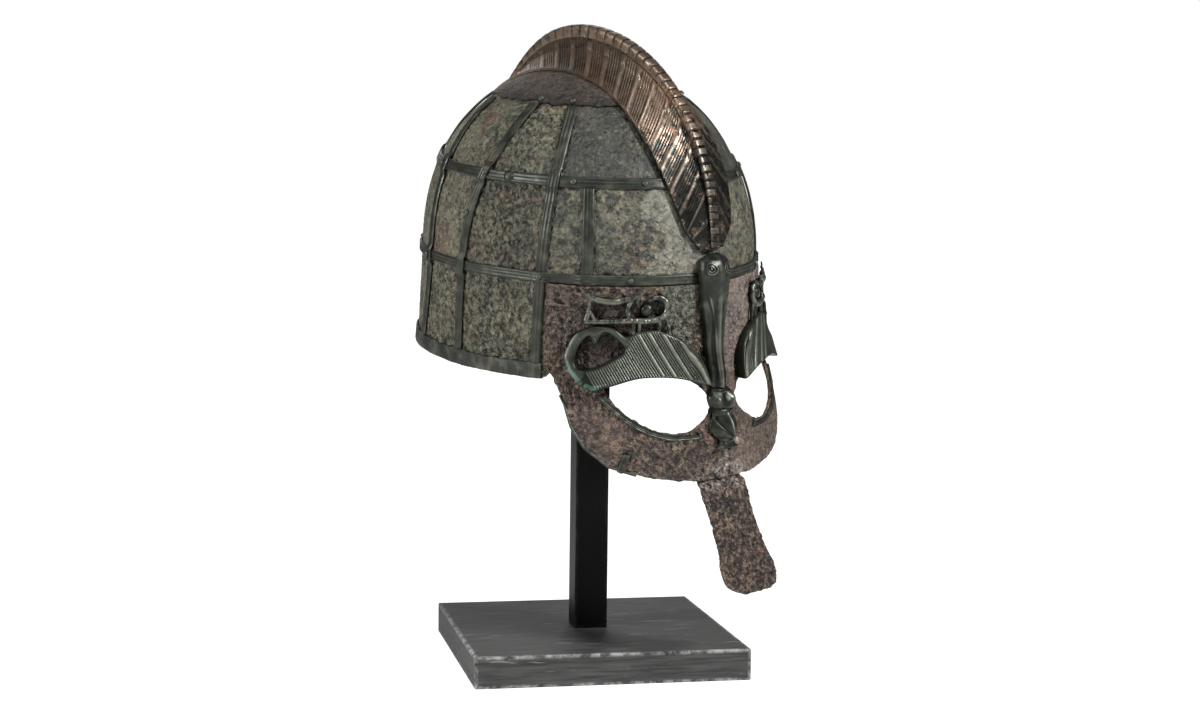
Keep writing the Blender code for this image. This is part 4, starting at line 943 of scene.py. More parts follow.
def makeCrest():
    rows, steps = crestLook["rows"], crestLook["flankColumns"]
    first, last = crestRows[0]["angle"], crestRows[-1]["angle"]
    angle = np.linspace(first, last, rows)
    fade = np.minimum(1.0, np.minimum((angle - first) / 20.0, (last - angle) / 20.0))
    slant = crestLook["slant"] * fade
    height = crestLook["height"] * readTable(crestRows, "angle", "height", angle)
    half = crestLook["halfWidth"] * readTable(crestRows, "angle", "width", angle - slant * 0.5)
    band = crestLook["bandWidth"] * (0.7 + 0.3 * height / crestLook["height"]) / 2
    shelf = height * (1 - crestLook["bandShare"])
    over = 2 * shape["gap"] + shape["stripWall"]
    ends = np.clip(np.minimum((angle - first) / 6.0, (last - angle) / 6.0), 0, 1)
    columns, hollows = [], []
    run = np.concatenate([[0], np.cumsum(np.linalg.norm(np.diff(crestPoint(angle, 0.0, height), axis=0), axis=1))])
    ridgePitch = np.interp(angle, [10, 45, 80, 173], [0.0042, 0.0060, 0.0085, 0.0085])
    turns = np.concatenate([[0], np.cumsum(np.diff(run) / ridgePitch[1:])])
    notch = (0.5 + 0.5 * np.cos(turns * 2 * math.pi)) ** 9
    shade = 0.22 * np.sin(np.floor(turns) * 2.4)
    for side in (-1, 1):
        flank = []
        place = angle - slant
        flank.append((crestShellPoint(place, side * half, over), 0 * angle))
        flank.append((crestShellPoint(place, side * half, over + crestLook["edge"]), 0 * angle))
        flank.append((crestShellPoint(place, side * half * 0.985, over + crestLook["edge"] * 1.25), 0 * angle))
        for k in range(steps):
            share = 0.05 + 0.95 * k / (steps - 1)
            across = half + (band * crestLook["webShare"] - half) * share
            place = angle - slant * (1 - share)
            foot = crestShellPoint(place, side * across, over + crestLook["edge"])
            web = crestPoint(place, side * across, shelf)
            point = foot + (web - foot) * share ** crestLook["hollow"]
            rise, hollow = fluteWave(angle + 1.8 * share)
            amount = math.sin(math.pi * min(1.0, share * 1.15 + 0.08)) ** 0.5 if share < 0.8 else max(0.0, (1 - share) / 0.2) ** 0.5 * 0.95
            amount = amount * ends * np.clip(0.55 + 0.45 * height / crestLook["height"], 0, 1)
            out = np.stack([np.full(rows, float(side) * 0.8), 0 * angle, 0 * angle], -1)
            out = out + crestPoint(angle, 0.0, 1.0) * 0 + (crestShellPoint(place, side * across, 1.0) - crestShellPoint(place, side * across, 0.0)) * 0.6
            out /= np.linalg.norm(out, axis=1, keepdims=True)
            flank.append((point + out * (rise * amount)[:, None], hollow * amount))
        rim = shelf + band * 0.25
        flank.append((crestPoint(angle, side * band * 0.97, rim), 0.2 + 0 * angle))
        flank.append((crestPoint(angle, side * band, rim + 0.0006), shade - 0.4 + 0.6 * notch))
        flank.append((crestPoint(angle, side * band * 1.01, height * 0.86 - notch * 0.0002), shade - 0.3 + 0.9 * notch))
        flank.append((crestPoint(angle, side * band * 0.97, height * 0.955 - notch * 0.0003), shade - 0.5 + 1.1 * notch))
        flank.append((crestPoint(angle, side * band * 0.80, height * 0.985 - notch * crestLook["ridgeHeight"]), shade - 0.4 + 1.2 * notch))
        flank.append((crestPoint(angle, side * band * 0.42, height * 0.997 - notch * crestLook["ridgeHeight"]), shade - 0.2 + 1.1 * notch))
        if side > 0:
            flank = flank[::-1]
        else:
            flank.append((crestPoint(angle, 0.0, height - notch * crestLook["ridgeHeight"]), shade - 0.2 + 1.1 * notch))
        columns += [point for point, _ in flank]
        hollows += [hollow for _, hollow in flank]
    foot = (columns[0] + columns[-1]) / 2
    reach = np.degrees(np.arctan2(foot[:, 2], np.hypot(foot[:, 0], foot[:, 1])))
    reach = np.where(foot[:, 1] < 0, reach, 180 - reach)
    for across in np.linspace(0.9, -0.9, 7):
        columns.append(crestShellPoint(reach, across * crestLook["halfWidth"] * 0.9 * half / half.max(), over))
        hollows.append(0.3 + 0 * angle)
    places = np.stack(columns, 1)
    crest = tubeSheet("crest_casting", places)
    points = pointsOf(crest)
    look = {tuple(np.round(p * 1e5).astype(int)): h for p, h in zip(places.reshape(-1, 3), np.stack(hollows, 1).ravel())}
    depth = np.array([look.get(tuple(np.round(p * 1e5).astype(int)), 0.0) for p in points])
    setAttribute(crest, "depth", depth * 0.6 + 0.06 * clouds(points, 0.004, 2, 31))
    around = np.degrees(np.arctan2(points[:, 2], -points[:, 1]))
    # painted shade: the front of the crest darkened through its tint mark
    setAttribute(crest, "tint_and_shade", np.clip((58 - around) / 26, 0, 1) * 0.85 + 0.12)
    return finishPiece(crest, crestBronze, ["crest"], angle=45.0)


makeCrest()
report("crest")


# plates laid out flat, remeshed fine and bent round the bowl, as the smith did

visorLook = {
    "halfAngle": 59.0,
    "height": 0.1226,
    "wall": 0.0024,
    "flare": 0.0113,
    "flareStart": 0.040,
    "flareEnd": 0.104,
    "topDrop": 0.0034,
    "voxel": 0.00078,
    "lump": 0.00080,
    "crumb": 0.00095,
    "pit": 0.00085,
    "ragged": 0.00045,
    "foilRise": 0.0007,
}
visorRows = [
    (1.000, 0.25), (1.000, 0.43), (0.935, 0.50), (0.870, 0.61), (0.830, 0.715), (0.757, 0.82),
    (0.650, 0.902), (0.497, 0.953), (0.334, 0.981),
]
eyeLook = {"start": 5.6, "span": 34.3, "drop": 0.0568, "height": 0.0352}
eyeRows = [
    (1.00, 0.17), (0.97, 0.33), (0.87, 0.56), (0.69, 0.80), (0.51, 0.95), (0.36, 1.00), (0.21, 0.94), (0.06, 0.75),
    (0.00, 0.55), (0.03, 0.38), (0.13, 0.20), (0.25, 0.09), (0.42, 0.01), (0.70, 0.00), (0.90, 0.07),
]
nasalLook = {
    "length": 0.0640, "width": 0.0388, "wall": 0.0032, "flare": 0.0340, "curve": 1.15, "tongue": 0.0100,
    "tongueShare": 0.92, "rows": 330, "sides": 132, "crumb": 0.00055, "pit": 0.0007,
}
nasalRows = [
    {"down": 0.08, "width": 1.00}, {"down": 0.30, "width": 0.95}, {"down": 0.50, "width": 0.96},
    {"down": 0.68, "width": 1.04}, {"down": 0.80, "width": 1.14}, {"down": 0.90, "width": 1.13},
    {"down": 0.96, "width": 0.96}, {"down": 1.00, "width": 0.62},
]


def flatAcross(angle):
    return np.radians(angle) * shape["flatRadius"]


def flatLoop(rows, side, look):
    # an outline's shares as places on the flat plate, on the wearer's right (1) or left (-1)
    rows = np.array(rows, float)
    u = side * (flatAcross(look["start"]) + flatAcross(look["span"]) * rows[:, 0])
    return np.stack([u, -look["drop"] - look["height"] * rows[:, 1]], 1)


def smoothLoop(points, steps):
    points = np.asarray(points, float)
    before, end, after = np.roll(points, 1, 0), np.roll(points, -1, 0), np.roll(points, -2, 0)
    made = []
    for step in range(steps):
        t = step / steps
        bend = 2 * before - 5 * points + 4 * end - after
        twist = 3 * points - before - 3 * end + after
        made.append(0.5 * (2 * points + (end - before) * t + bend * t**2 + twist * t**3))
    return np.stack(made, 1).reshape(-1, 2)


def distanceTo(places, loop, closed=True):
    # shortest distance from each place to a line of points
    best = np.full(len(places), 1e9)
    ends = np.roll(loop, -1, 0) if closed else loop[1:]
    for start, end in zip(loop, ends):
        along = end - start
        share = np.clip(((places - start) @ along) / max(along @ along, 1e-12), 0, 1)
        best = np.minimum(best, np.linalg.norm(places - start - share[:, None] * along, axis=1))
    return best


def flatPlate(name, loops, wall, voxel):
    curve = bpy.data.curves.new(name, "CURVE")
    curve.dimensions = "2D"
    curve.fill_mode = "BOTH"
    curve.extrude = wall / 2
    for loop in loops:
        spline = curve.splines.new("POLY")
        spline.points.add(len(loop) - 1)
        spline.use_cyclic_u = True
        spline.points.foreach_set("co", np.concatenate([loop, loop * 0 + (0, 1)], 1).ravel())
    plate = bpy.data.objects.new(name, curve)
    bpy.context.collection.objects.link(plate)
    selectOnly(plate)
    bpy.ops.object.convert(target="MESH")
    plate = bpy.context.object
    plate.name = plate.data.name = name
    weld(plate, 0.00002)
    applyModifier(plate, "REMESH", mode="VOXEL", voxel_size=voxel)
    return plate


def visorFlare(z):
    return visorLook["flare"] * softStep((-z - visorLook["flareStart"]) / (visorLook["flareEnd"] - visorLook["flareStart"]))


def overVisor(z):
    return 2 * shape["gap"] + visorFlare(z) + visorLook["wall"]


def bendRound(piece, u, v, away):
    setPoints(piece, shellPoint(np.degrees(u / shape["flatRadius"]), v, away))


def makeVisor():
    look = visorLook
    place = {"start": 0.0, "span": look["halfAngle"], "drop": 0.0, "height": look["height"]}
    half = np.concatenate([
        [[flatAcross(look["halfAngle"]), -look["topDrop"]]],
        flatLoop(visorRows, 1, place),
        [[nasalLook["width"] / 2, -look["height"]]],
    ])
    outline = np.concatenate([half, half[::-1] * (-1, 1)])
    loops = [outline] + [smoothLoop(flatLoop(eyeRows, side, eyeLook), 6) for side in (1, -1)]
    visor = flatPlate("visor_plate", loops, look["wall"], look["voxel"])
    points = pointsOf(visor)
    u, v = points[:, 0].copy(), points[:, 1].copy()
    share = np.clip(points[:, 2] / look["wall"] + 0.5, 0, 1)
    flat = np.stack([u, v, 0 * u], 1)
    edge = distanceTo(flat[:, :2], outline)
    for loop in loops[1:]:
        edge = np.minimum(edge, distanceTo(flat[:, :2], loop))
    near = np.clip(1 - edge / 0.006, 0, 1) * (v < -0.008)
    u += look["ragged"] * near * clouds(flat, 0.0040, 3, 41) * 1.6
    v += look["ragged"] * near * clouds(flat, 0.0040, 3, 42) * 1.6
    lump = clouds(flat, 0.0085, 3, 43)
    crumb = creases(flat, 0.0042, 2, 44) - 0.7
    scales = clouds(flat * (1.0, 0.55, 1.0), 0.0030, 2, 47)
    holes = pits(flat, 0.0046, 0.30, 45)
    calm = np.where(u < 0, 0.55, 1.0)
    rough = calm * np.clip(0.85 + 0.5 * clouds(flat, 0.025, 2, 46), 0.4, 1.3)
    angle = np.degrees(u / shape["flatRadius"])
    foil = softStep((angle - 50.5) / 0.8) * softStep((58.4 - angle) / 0.5) * softStep((-v - 0.0078) / 0.0006) * softStep((0.0172 + v) / 0.0006)
    foil *= (np.abs(clouds(flat, 0.006, 2, 48)) < 0.42)
    rib = np.abs(np.sin((v + 0.0078) / 0.0023 * math.pi)) ** 0.8
    away = rough * (look["lump"] * lump * 1.1 + look["crumb"] * (crumb + 0.5 * scales)) - look["pit"] * holes * rough
    away = np.clip(away, -0.0015, 0.0014) * (1 - foil) + foil * (0.0002 + look["foilRise"] * rib)
    # a thin top edge, tucked under the brow hoop
    away *= softStep((-v - 0.0035) / 0.003)
    rounded = 0.0005 * np.clip(1 - edge / 0.0012, 0, 1) ** 2
    outer = share > 0.5
    away = np.where(outer, away - rounded, 0.00012 * clouds(flat, 0.006, 2, 49) + rounded * 0.6)
    depth = np.clip(-(crumb + 0.6 * scales) * 1.0 - 0.25 + holes, -1, 1) * rough
    depth = np.where(foil > 0.5, 0.5 - rib, depth)
    # painted shade behind the pierced mounts and inside the loops of the brows
    turn = np.abs(angle)
    behind = softStep((turn - 20.5) / 2) * softStep((46.5 - turn) / 2) * softStep((-v - 0.0095) / 0.003) * softStep((0.0250 + v) / 0.002)
    loopHoleShade = softStep((1.35 - np.hypot((turn - 41.6) / 7.2, (v + 0.042) / 0.0115)) / 0.4)
    depth = np.maximum(depth, np.maximum(0.9 * behind, 1.35 * loopHoleShade))
    bendRound(visor, u, v, shape["gap"] + visorFlare(v) + share * look["wall"] + away)
    setAttribute(visor, "depth", np.where(outer, depth * 0.75, 0.1))
    setAttribute(visor, "rough", np.where(outer & (foil < 0.5), np.clip(rough, 0, 1), 0.2))
    bridge = softStep((angle - 7) / 4) * softStep((27 - angle) / 7) * softStep((0.052 + v) / 0.010)
    jaw = softStep((0.0030 - distanceTo(flat[:, :2], half)) / 0.002) * 0.6 * (v < -0.06)
    setAttribute(visor, "tint_and_shade", np.clip(bridge + jaw, 0, 1))
    joint = np.exp(-((u - 0.002) / 0.016) ** 2 - ((v + 0.1185) / 0.006) ** 2)
    crust = np.exp(-((u - 0.003) / 0.0030) ** 2 - ((v + 0.104) / 0.007) ** 2) + np.exp(-((u + 0.006) / 0.002) ** 2 - ((v + 0.100) / 0.0035) ** 2)
    pale = np.clip(joint * (0.5 + clouds(flat, 0.003, 3, 50)) + crust * (0.6 + clouds(flat, 0.0022, 2, 51)), 0, 0.9)
    # painted light: the wearer's left half of the visor made paler with the flake tone
    pale = np.maximum(pale, 0.20 * softStep((-u - 0.004) / 0.006) * (v > -0.060))
    setAttribute(visor, "flake_and_painted_light", np.where(outer, pale, 0))
    return finishPiece(visor, visorIron, ["visor"], angle=60.0)


makeVisor()
report("visor")


def makeNasal():
    look = nasalLook
    edge = -visorLook["height"]
    frontRadius = shape["halfWidth"] ** 2 / shape["halfLength"]
    table = []
    for z in (edge + look["tongue"], edge - shape["gap"]):
        away = shape["gap"] + float(visorFlare(z)) - 2 * shape["gap"] - look["wall"]
        table.append((z, float(shellPoint(0.0, z, away)[1]), look["tongueShare"]))
    downs = np.linspace(0.08, 1.0, 24)
    start = float(shellPoint(0.0, edge)[1])
    for down in downs:
        away = shape["gap"] + float(visorFlare(edge)) + look["flare"] * down ** look["curve"]
        table.append((edge - look["length"] * down, start - away, float(readTable(nasalRows, "down", "width", down))))
    table = np.array(table)[::-1]
    z = np.linspace(edge + look["tongue"], edge - look["length"], look["rows"])
    y = np.interp(z, table[:, 0], table[:, 1])
    half = look["width"] / 2 * np.interp(z, table[:, 0], table[:, 2])
    end = np.clip((z - (edge - look["length"])) / 0.0022, 0, 1)
    end = np.sqrt(np.clip(1 - (1 - end) ** 2, 0.0, 1))
    turn = np.linspace(0, 2 * math.pi, look["sides"], endpoint=False)
    across = np.sign(np.cos(turn)) * np.abs(np.cos(turn)) ** 0.28
    across = np.interp(turn, np.linspace(0, 2 * math.pi, 9), [1, 0.8, 0, -0.8, -1, -0.8, 0, 0.8, 1])
    across = np.clip(np.where(turn < math.pi, np.interp(turn, [0, 0.35, math.pi - 0.35, math.pi], [1, 0.94, -0.94, -1]),
                              np.interp(turn, [math.pi, math.pi + 0.35, 2 * math.pi - 0.35, 2 * math.pi], [-1, -0.94, 0.94, 1])), -1, 1)
    face = np.interp(turn, [0, 0.35, math.pi - 0.35, math.pi, math.pi + 0.35, 2 * math.pi - 0.35, 2 * math.pi],
                     [0.5, 1.0, 1.0, 0.5, 0.0, 0.0, 0.5])
    x = half[:, None] * across[None, :] * (0.86 + 0.14 * end[:, None])
    bow = x**2 / (2 * frontRadius)
    thick = (face[None, :] - 0.5) * end[:, None] + 0.5
    places = np.stack([x, y[:, None] + bow - thick * look["wall"], np.broadcast_to(z[:, None], x.shape)], -1)
    flat = places.reshape(-1, 3).copy()
    front = np.repeat(face[None, :], len(z), 0).ravel()
    edges = (np.abs(across) > 0.9)[None, :].repeat(len(z), 0).ravel()
    crumb = creases(flat, 0.0036, 2, 61) - 0.7
    scales = clouds(flat, 0.0020, 2, 62)
    holes = pits(flat, 0.0038, 0.45, 63)
    away = look["crumb"] * (0.9 * crumb + 0.5 * scales) - look["pit"] * holes
    away *= softStep((edge - flat[:, 2]) / 0.003 + 0.3)
    flat[:, 1] -= np.where(front > 0.5, away, -away * 0.5)
    flat[:, 0] += edges * np.sign(flat[:, 0]) * (0.0007 * clouds(flat, 0.0040, 3, 64) + 0.0006 * crumb)
    flat[:, 2] += 0.0009 * (end.repeat(len(turn)) < 0.8) * clouds(flat, 0.004, 2, 65)
    x, y = ridgeTurned(flat[:, 0], flat[:, 1])
    nasal = tubeSheet("nasal_bar", np.stack([x, y, flat[:, 2]], 1).reshape(places.shape))
    # the same patterns again for the cavity tone, read where each point now is
    points = pointsOf(nasal)
    lookup = {tuple(np.round(p * 1e5).astype(int)): k for k, p in enumerate(np.stack([x, y, flat[:, 2]], 1))}
    index = [lookup.get(tuple(np.round(p * 1e5).astype(int)), -1) for p in points]
    depth = np.clip(-(crumb + 0.5 * scales) - 0.3 + holes, -1, 1)
    setAttribute(nasal, "depth", np.where(np.array(index) < 0, 0.2, depth[index]))
    setAttribute(nasal, "rough", np.ones(len(points)))
    top = np.exp(-((points[:, 2] - edge + 0.0035) / 0.0035) ** 2)
    setAttribute(nasal, "flake_and_painted_light", np.clip(top * (0.45 + clouds(points, 0.003, 3, 66)), 0, 0.85))
    return finishPiece(nasal, visorIron, ["nasal_strip"], angle=60.0)


makeNasal()
report("nasal")


# a bronze lip laid along the lower half of each eye opening, with two fine grooves

edgingLook = {"width": 0.0032, "wall": 0.0010, "inset": 0.0022, "steps": 12}


def makeEyeEdging():
    lower = [row for row in eyeRows if row[1] > 0.3 and row[0] > 0.15]
    for side, word in ((1, "right"), (-1, "left")):
        line = flatLoop(lower, side, eyeLook)
        steps = edgingLook["steps"]
        path = smoothLoop(line, steps)[: (len(line) - 1) * steps + 1]
        centre = np.array([side * flatAcross(eyeLook["start"] + eyeLook["span"] / 2), -eyeLook["drop"]])
        out = (path - centre) / np.linalg.norm(path - centre, axis=1)[:, None]
        across = np.linspace(-0.5, 0.5, 13)
        rise = (1 - (np.abs(across) * 2) ** 4) * (0.78 + 0.22 * np.cos(across * 2 * math.pi * 3))
        rows = []
        for sideways, up in ((across, rise), (across[::-1], rise * 0 - 0.3)):
            spot = path[:, None] + out[:, None] * (edgingLook["inset"] + sideways[None, :, None] * edgingLook["width"])
            bite = 0.00025 * clouds(np.append(path, path[:, :1] * 0, 1), 0.004, 2, 71)[:, None]
            away = overVisor(spot[..., 1]) + up[None, :] * edgingLook["wall"] + bite
            rows.append(shellPoint(np.degrees(spot[..., 0] / shape["flatRadius"]), spot[..., 1], away))
        piece = tubeSheet(f"eye_lip_{word}", np.concatenate(rows, 1))
        setAttribute(piece, "depth", np.clip(0.7 * clouds(pointsOf(piece), 0.004, 3, 72) + 0.1, -0.5, 0.6))
        finishPiece(piece, stripBronze, [f"eye_edging_{word}"], angle=40.0)


makeEyeEdging()


jawLook = {"radius": 0.00085, "first": 3, "last": 7, "clampAt": 0.62, "clampLength": 0.0105, "clampWidth": 0.0040}


def makeJawLip():
    # a thin rolled bronze lip on the jaw's outer edge, and the strap that clamps its lower end
    place = {"start": 0.0, "span": visorLook["halfAngle"], "drop": 0.0, "height": visorLook["height"]}
    corners = flatLoop(visorRows[2:8], 1, place)
    run = np.concatenate([[0], np.cumsum(np.linalg.norm(np.diff(corners, axis=0), axis=1))])
    at = np.linspace(run[1] * 0.6, run[-1] * 0.97, 240)
    path = np.stack([np.interp(at, run, corners[:, k]) for k in (0, 1)], 1)
    away = overVisor(path[:, 1]) - 0.0007
    path = path + 0.0002 * np.stack([clouds(np.append(path, path[:, :1] * 0, 1), 0.006, 2, k) for k in (73, 74)], 1)
    middle = shellPoint(np.degrees(path[:, 0] / shape["flatRadius"]), path[:, 1], away)
    outward = shellPoint(np.degrees(path[:, 0] / shape["flatRadius"]), path[:, 1], away + 0.01) - middle
    outward /= np.linalg.norm(outward, axis=1)[:, None]
    lip = roundBar("jaw_lip_right", middle, outward, np.full(len(middle), jawLook["radius"]), 1.0, 12)
    setAttribute(lip, "depth", np.clip(0.6 * clouds(pointsOf(lip), 0.005, 3, 75) - 0.1, -0.5, 0.5))
    finishPiece(lip, stripBronze, angle=70.0)
    spot = path[int(len(path) * 0.86)]
    inward = np.array([-0.35, 0.94])
    steps = np.linspace(-0.0012, jawLook["clampLength"], 40)
    strap = spot + steps[:, None] * inward
    away = overVisor(strap[:, 1]) + 0.0002
    middle = shellPoint(np.degrees(strap[:, 0] / shape["flatRadius"]), strap[:, 1], away)
    outward = shellPoint(np.degrees(strap[:, 0] / shape["flatRadius"]), strap[:, 1], away + 0.01) - middle
    outward /= np.linalg.norm(outward, axis=1)[:, None]
    clamp = roundBar("jaw_clamp_right", middle, outward, np.full(40, jawLook["clampWidth"] / 2), 0.42, 22)
    points = pointsOf(clamp)
    setAttribute(clamp, "depth", np.clip(0.8 * clouds(points, 0.003, 3, 76), -0.5, 0.5))
    finishPiece(clamp, stripBronze, angle=70.0)


makeJawLip()
report("eye edging and jaw lip")


# cast brows: fluted leaves whose lower edge stands out, each ending in a round-barred loop

browLook = {
    "start": 7.0, "span": 44.9, "drop": 0.0226, "height": 0.0415, "wall": 0.0022, "eave": 0.0062, "voxel": 0.00030,
    "slant": 29.0, "broad": 0.00090, "fine": 0.00042, "crown": 0.0011, "ring": 0.0013, "ringWidth": 0.0080,
}
browRows = [
    (1.00, 0.61), (0.98, 0.39), (0.93, 0.21), (0.84, 0.12), (0.74, 0.10), (0.66, 0.14), (0.59, 0.24), (0.51, 0.18),
    (0.38, 0.16), (0.27, 0.24), (0.16, 0.36), (0.05, 0.60), (0.00, 0.93), (0.02, 0.99), (0.15, 0.90), (0.31, 0.835),
    (0.51, 0.835), (0.70, 0.95), (0.82, 1.00), (0.92, 0.87),
]
browLoopRows = [
    (0.925, 0.61), (0.905, 0.41), (0.840, 0.25), (0.800, 0.36), (0.735, 0.19), (0.655, 0.28), (0.600, 0.44),
    (0.675, 0.56), (0.765, 0.67), (0.850, 0.73), (0.905, 0.70),
]
# flutes from the nose outward: width and how many fine lines it is cut into, 0 for one broad rib
browFlutes = [(4.4, 0), (4.4, 0), (4.4, 3), (4.0, 0), (4.4, 3), (3.8, 0), (3.0, 2), (3.2, 0), (40.0, 25)]


def browWave(run):
    rise, hollow = 0 * run, 0 * run
    start = 0.0
    for width, lines in browFlutes:
        width /= 1000
        share = (run - start) / width
        inside = (share >= 0) & (share < 1)
        if lines:
            wave = 0.5 - 0.5 * np.cos(share * 2 * math.pi * lines)
            rise = np.where(inside, browLook["fine"] * wave, rise)
            hollow = np.where(inside, 0.8 - 1.4 * wave, hollow)
        else:
            wave = np.sin(np.clip(share, 0, 1) * math.pi) ** 0.75
            rise = np.where(inside, browLook["broad"] * wave, rise)
            hollow = np.where(inside, 0.9 - 1.9 * wave, hollow)
        start += width
    return rise, hollow


def makeBrows():
    look = browLook
    for side, word in ((1, "right"), (-1, "left")):
        outline = smoothLoop(flatLoop(browRows, side, look), 6)
        opening = smoothLoop(flatLoop(browLoopRows, side, look), 6)
        brow = flatPlate(f"brow_casting_{word}", [outline, opening], look["wall"], look["voxel"])
        points = pointsOf(brow)
        u, v = points[:, 0], points[:, 1]
        share = np.clip(points[:, 2] / look["wall"] + 0.5, 0, 1)
        toOuter, toOpening = distanceTo(points[:, :2], outline), distanceTo(points[:, :2], opening)
        outward = side * u - flatAcross(look["start"])
        down = np.clip((-v - look["drop"]) / look["height"], 0, 1)
        ring = softStep((look["ringWidth"] - toOuter - toOpening) / 0.0016 + 0.5)
        bar = np.sin(np.clip(toOpening / np.maximum(toOuter + toOpening, 1e-6), 0, 1) * math.pi) ** 0.6
        above = v + look["drop"] + look["height"] * 0.95
        run = outward - math.tan(math.radians(look["slant"])) * above - 0.0012 + 0.35 * above * np.clip(1 - outward / 0.012, 0, 1)
        rise, hollow = browWave(np.maximum(run + 0.0052, 0))
        inner = softStep((np.minimum(toOuter, toOpening * 1.3) - 0.0006) / 0.0009)
        rim = np.exp(-((toOuter - 0.0007) / 0.00045) ** 2) * (down > 0.55)
        leaf = look["crown"] * np.sin(np.clip(down, 0, 1) * math.pi) + rise * inner + 0.00035 * rim
        leaf += 0.00035 * np.exp(-((toOpening - 0.0006) / 0.0004) ** 2)
        loop = look["ring"] * bar + 0.0002
        edge = np.clip(1 - np.minimum(toOuter, toOpening) / 0.0007, 0, 1) ** 2 * 0.0003
        away = (leaf * (1 - ring) + loop * ring - edge) * share
        away += overVisor(v) + share * (look["wall"] * 0.75 + look["eave"] * down)
        setAttribute(brow, "depth", np.where(share > 0.45, (hollow * inner * (1 - ring) + ring * (0.6 - 0.9 * bar)) * 0.55, 0.35))
        low = softStep((outward / flatAcross(look["span"]) - 0.66) / 0.12) * softStep((0.0042 - toOuter) / 0.002) * softStep((down - 0.52) / 0.12)
        setAttribute(brow, "tint_and_shade", np.clip(low * 1.1 - 0.25, 0, 1))
        bendRound(brow, u, v, away)
        finishPiece(brow, castBronze, [f"brow_{word}"], angle=60.0)


makeBrows()
report("brows")


# pierced mounts: cast scrollwork of round bars, fused where they meet

mountLook = {"voxel": 0.00034, "lift": 0.0018, "sides": 14, "steps": 14, "thick": 1.45}
# each bar: its places as degrees round and millimetres below the brow hoop, with a radius in mm at each
mountBars = [
    {"path": [(47.8, 4.2, 0.35), (44.6, 9.0, 1.0), (41.9, 11.2, 1.35), (38.4, 11.9, 1.45), (33.8, 10.6, 1.3), (29.6, 7.9, 0.9), (27.8, 6.3, 0.4)], "flat": 0.8},
    {"path": [(44.2, 9.6, 1.0), (44.8, 14.0, 0.85), (45.2, 19.0, 0.95), (45.9, 24.0, 1.25)], "flat": 1.0},
    {"path": [(44.8, 18.0, 0.6), (43.6, 21.5, 0.7), (43.0, 24.0, 0.8)], "flat": 1.0},
    {"path": [(46.3, 24.6, 0.9), (41.8, 24.2, 1.15), (36.6, 23.7, 1.25), (31.3, 23.3, 1.4), (25.7, 23.5, 1.5), (22.1, 21.7, 1.5),
              (20.2, 17.2, 1.45), (20.6, 12.5, 1.4), (22.9, 9.5, 1.25), (25.4, 10.2, 1.0), (26.3, 12.2, 0.7)], "flat": 1.0},
    {"path": [(31.6, 10.8, 0.9), (32.9, 14.5, 1.05), (33.1, 18.5, 1.1), (32.1, 22.8, 1.2)], "flat": 1.0},
    {"path": [(29.4, 8.6, 0.8), (30.0, 12.0, 0.8), (29.6, 14.5, 0.7)], "flat": 1.0},
    {"path": [(31.3, 23.6, 1.1), (31.2, 28.0, 0.9), (31.1, 33.6, 0.9)], "flat": 1.0},
    {"path": [(29.4, 23.8, 1.0), (29.4, 28.0, 0.9), (29.4, 33.2, 0.8)], "flat": 1.0},
    {"path": [(22.9, 22.6, 1.1), (22.8, 27.0, 0.9), (22.9, 32.2, 0.8)], "flat": 1.0},
    {"path": [(20.9, 21.4, 1.1), (19.9, 26.5, 0.9), (19.2, 33.0, 0.8)], "flat": 1.0},
]
mountBoss = {"angle": 26.9, "drop": 17.2, "radius": 4.2, "rise": 3.2}


def openCurve(rows, steps):
    rows = np.asarray(rows, float)
    run = np.concatenate([[0], np.cumsum(np.linalg.norm(np.diff(rows[:, :2] * (1.88, 1.0), axis=0), axis=1))])
    places = np.linspace(0, run[-1], (len(rows) - 1) * steps + 1)
    return np.stack([readTable([{"run": a, "value": b} for a, b in zip(run, rows[:, k])], "run", "value", places) for k in range(rows.shape[1])], 1)


def joinAll(first, others):
    selectOnly(first)
    for piece in others:
        piece.select_set(True)
    bpy.ops.object.join()
    return bpy.context.object


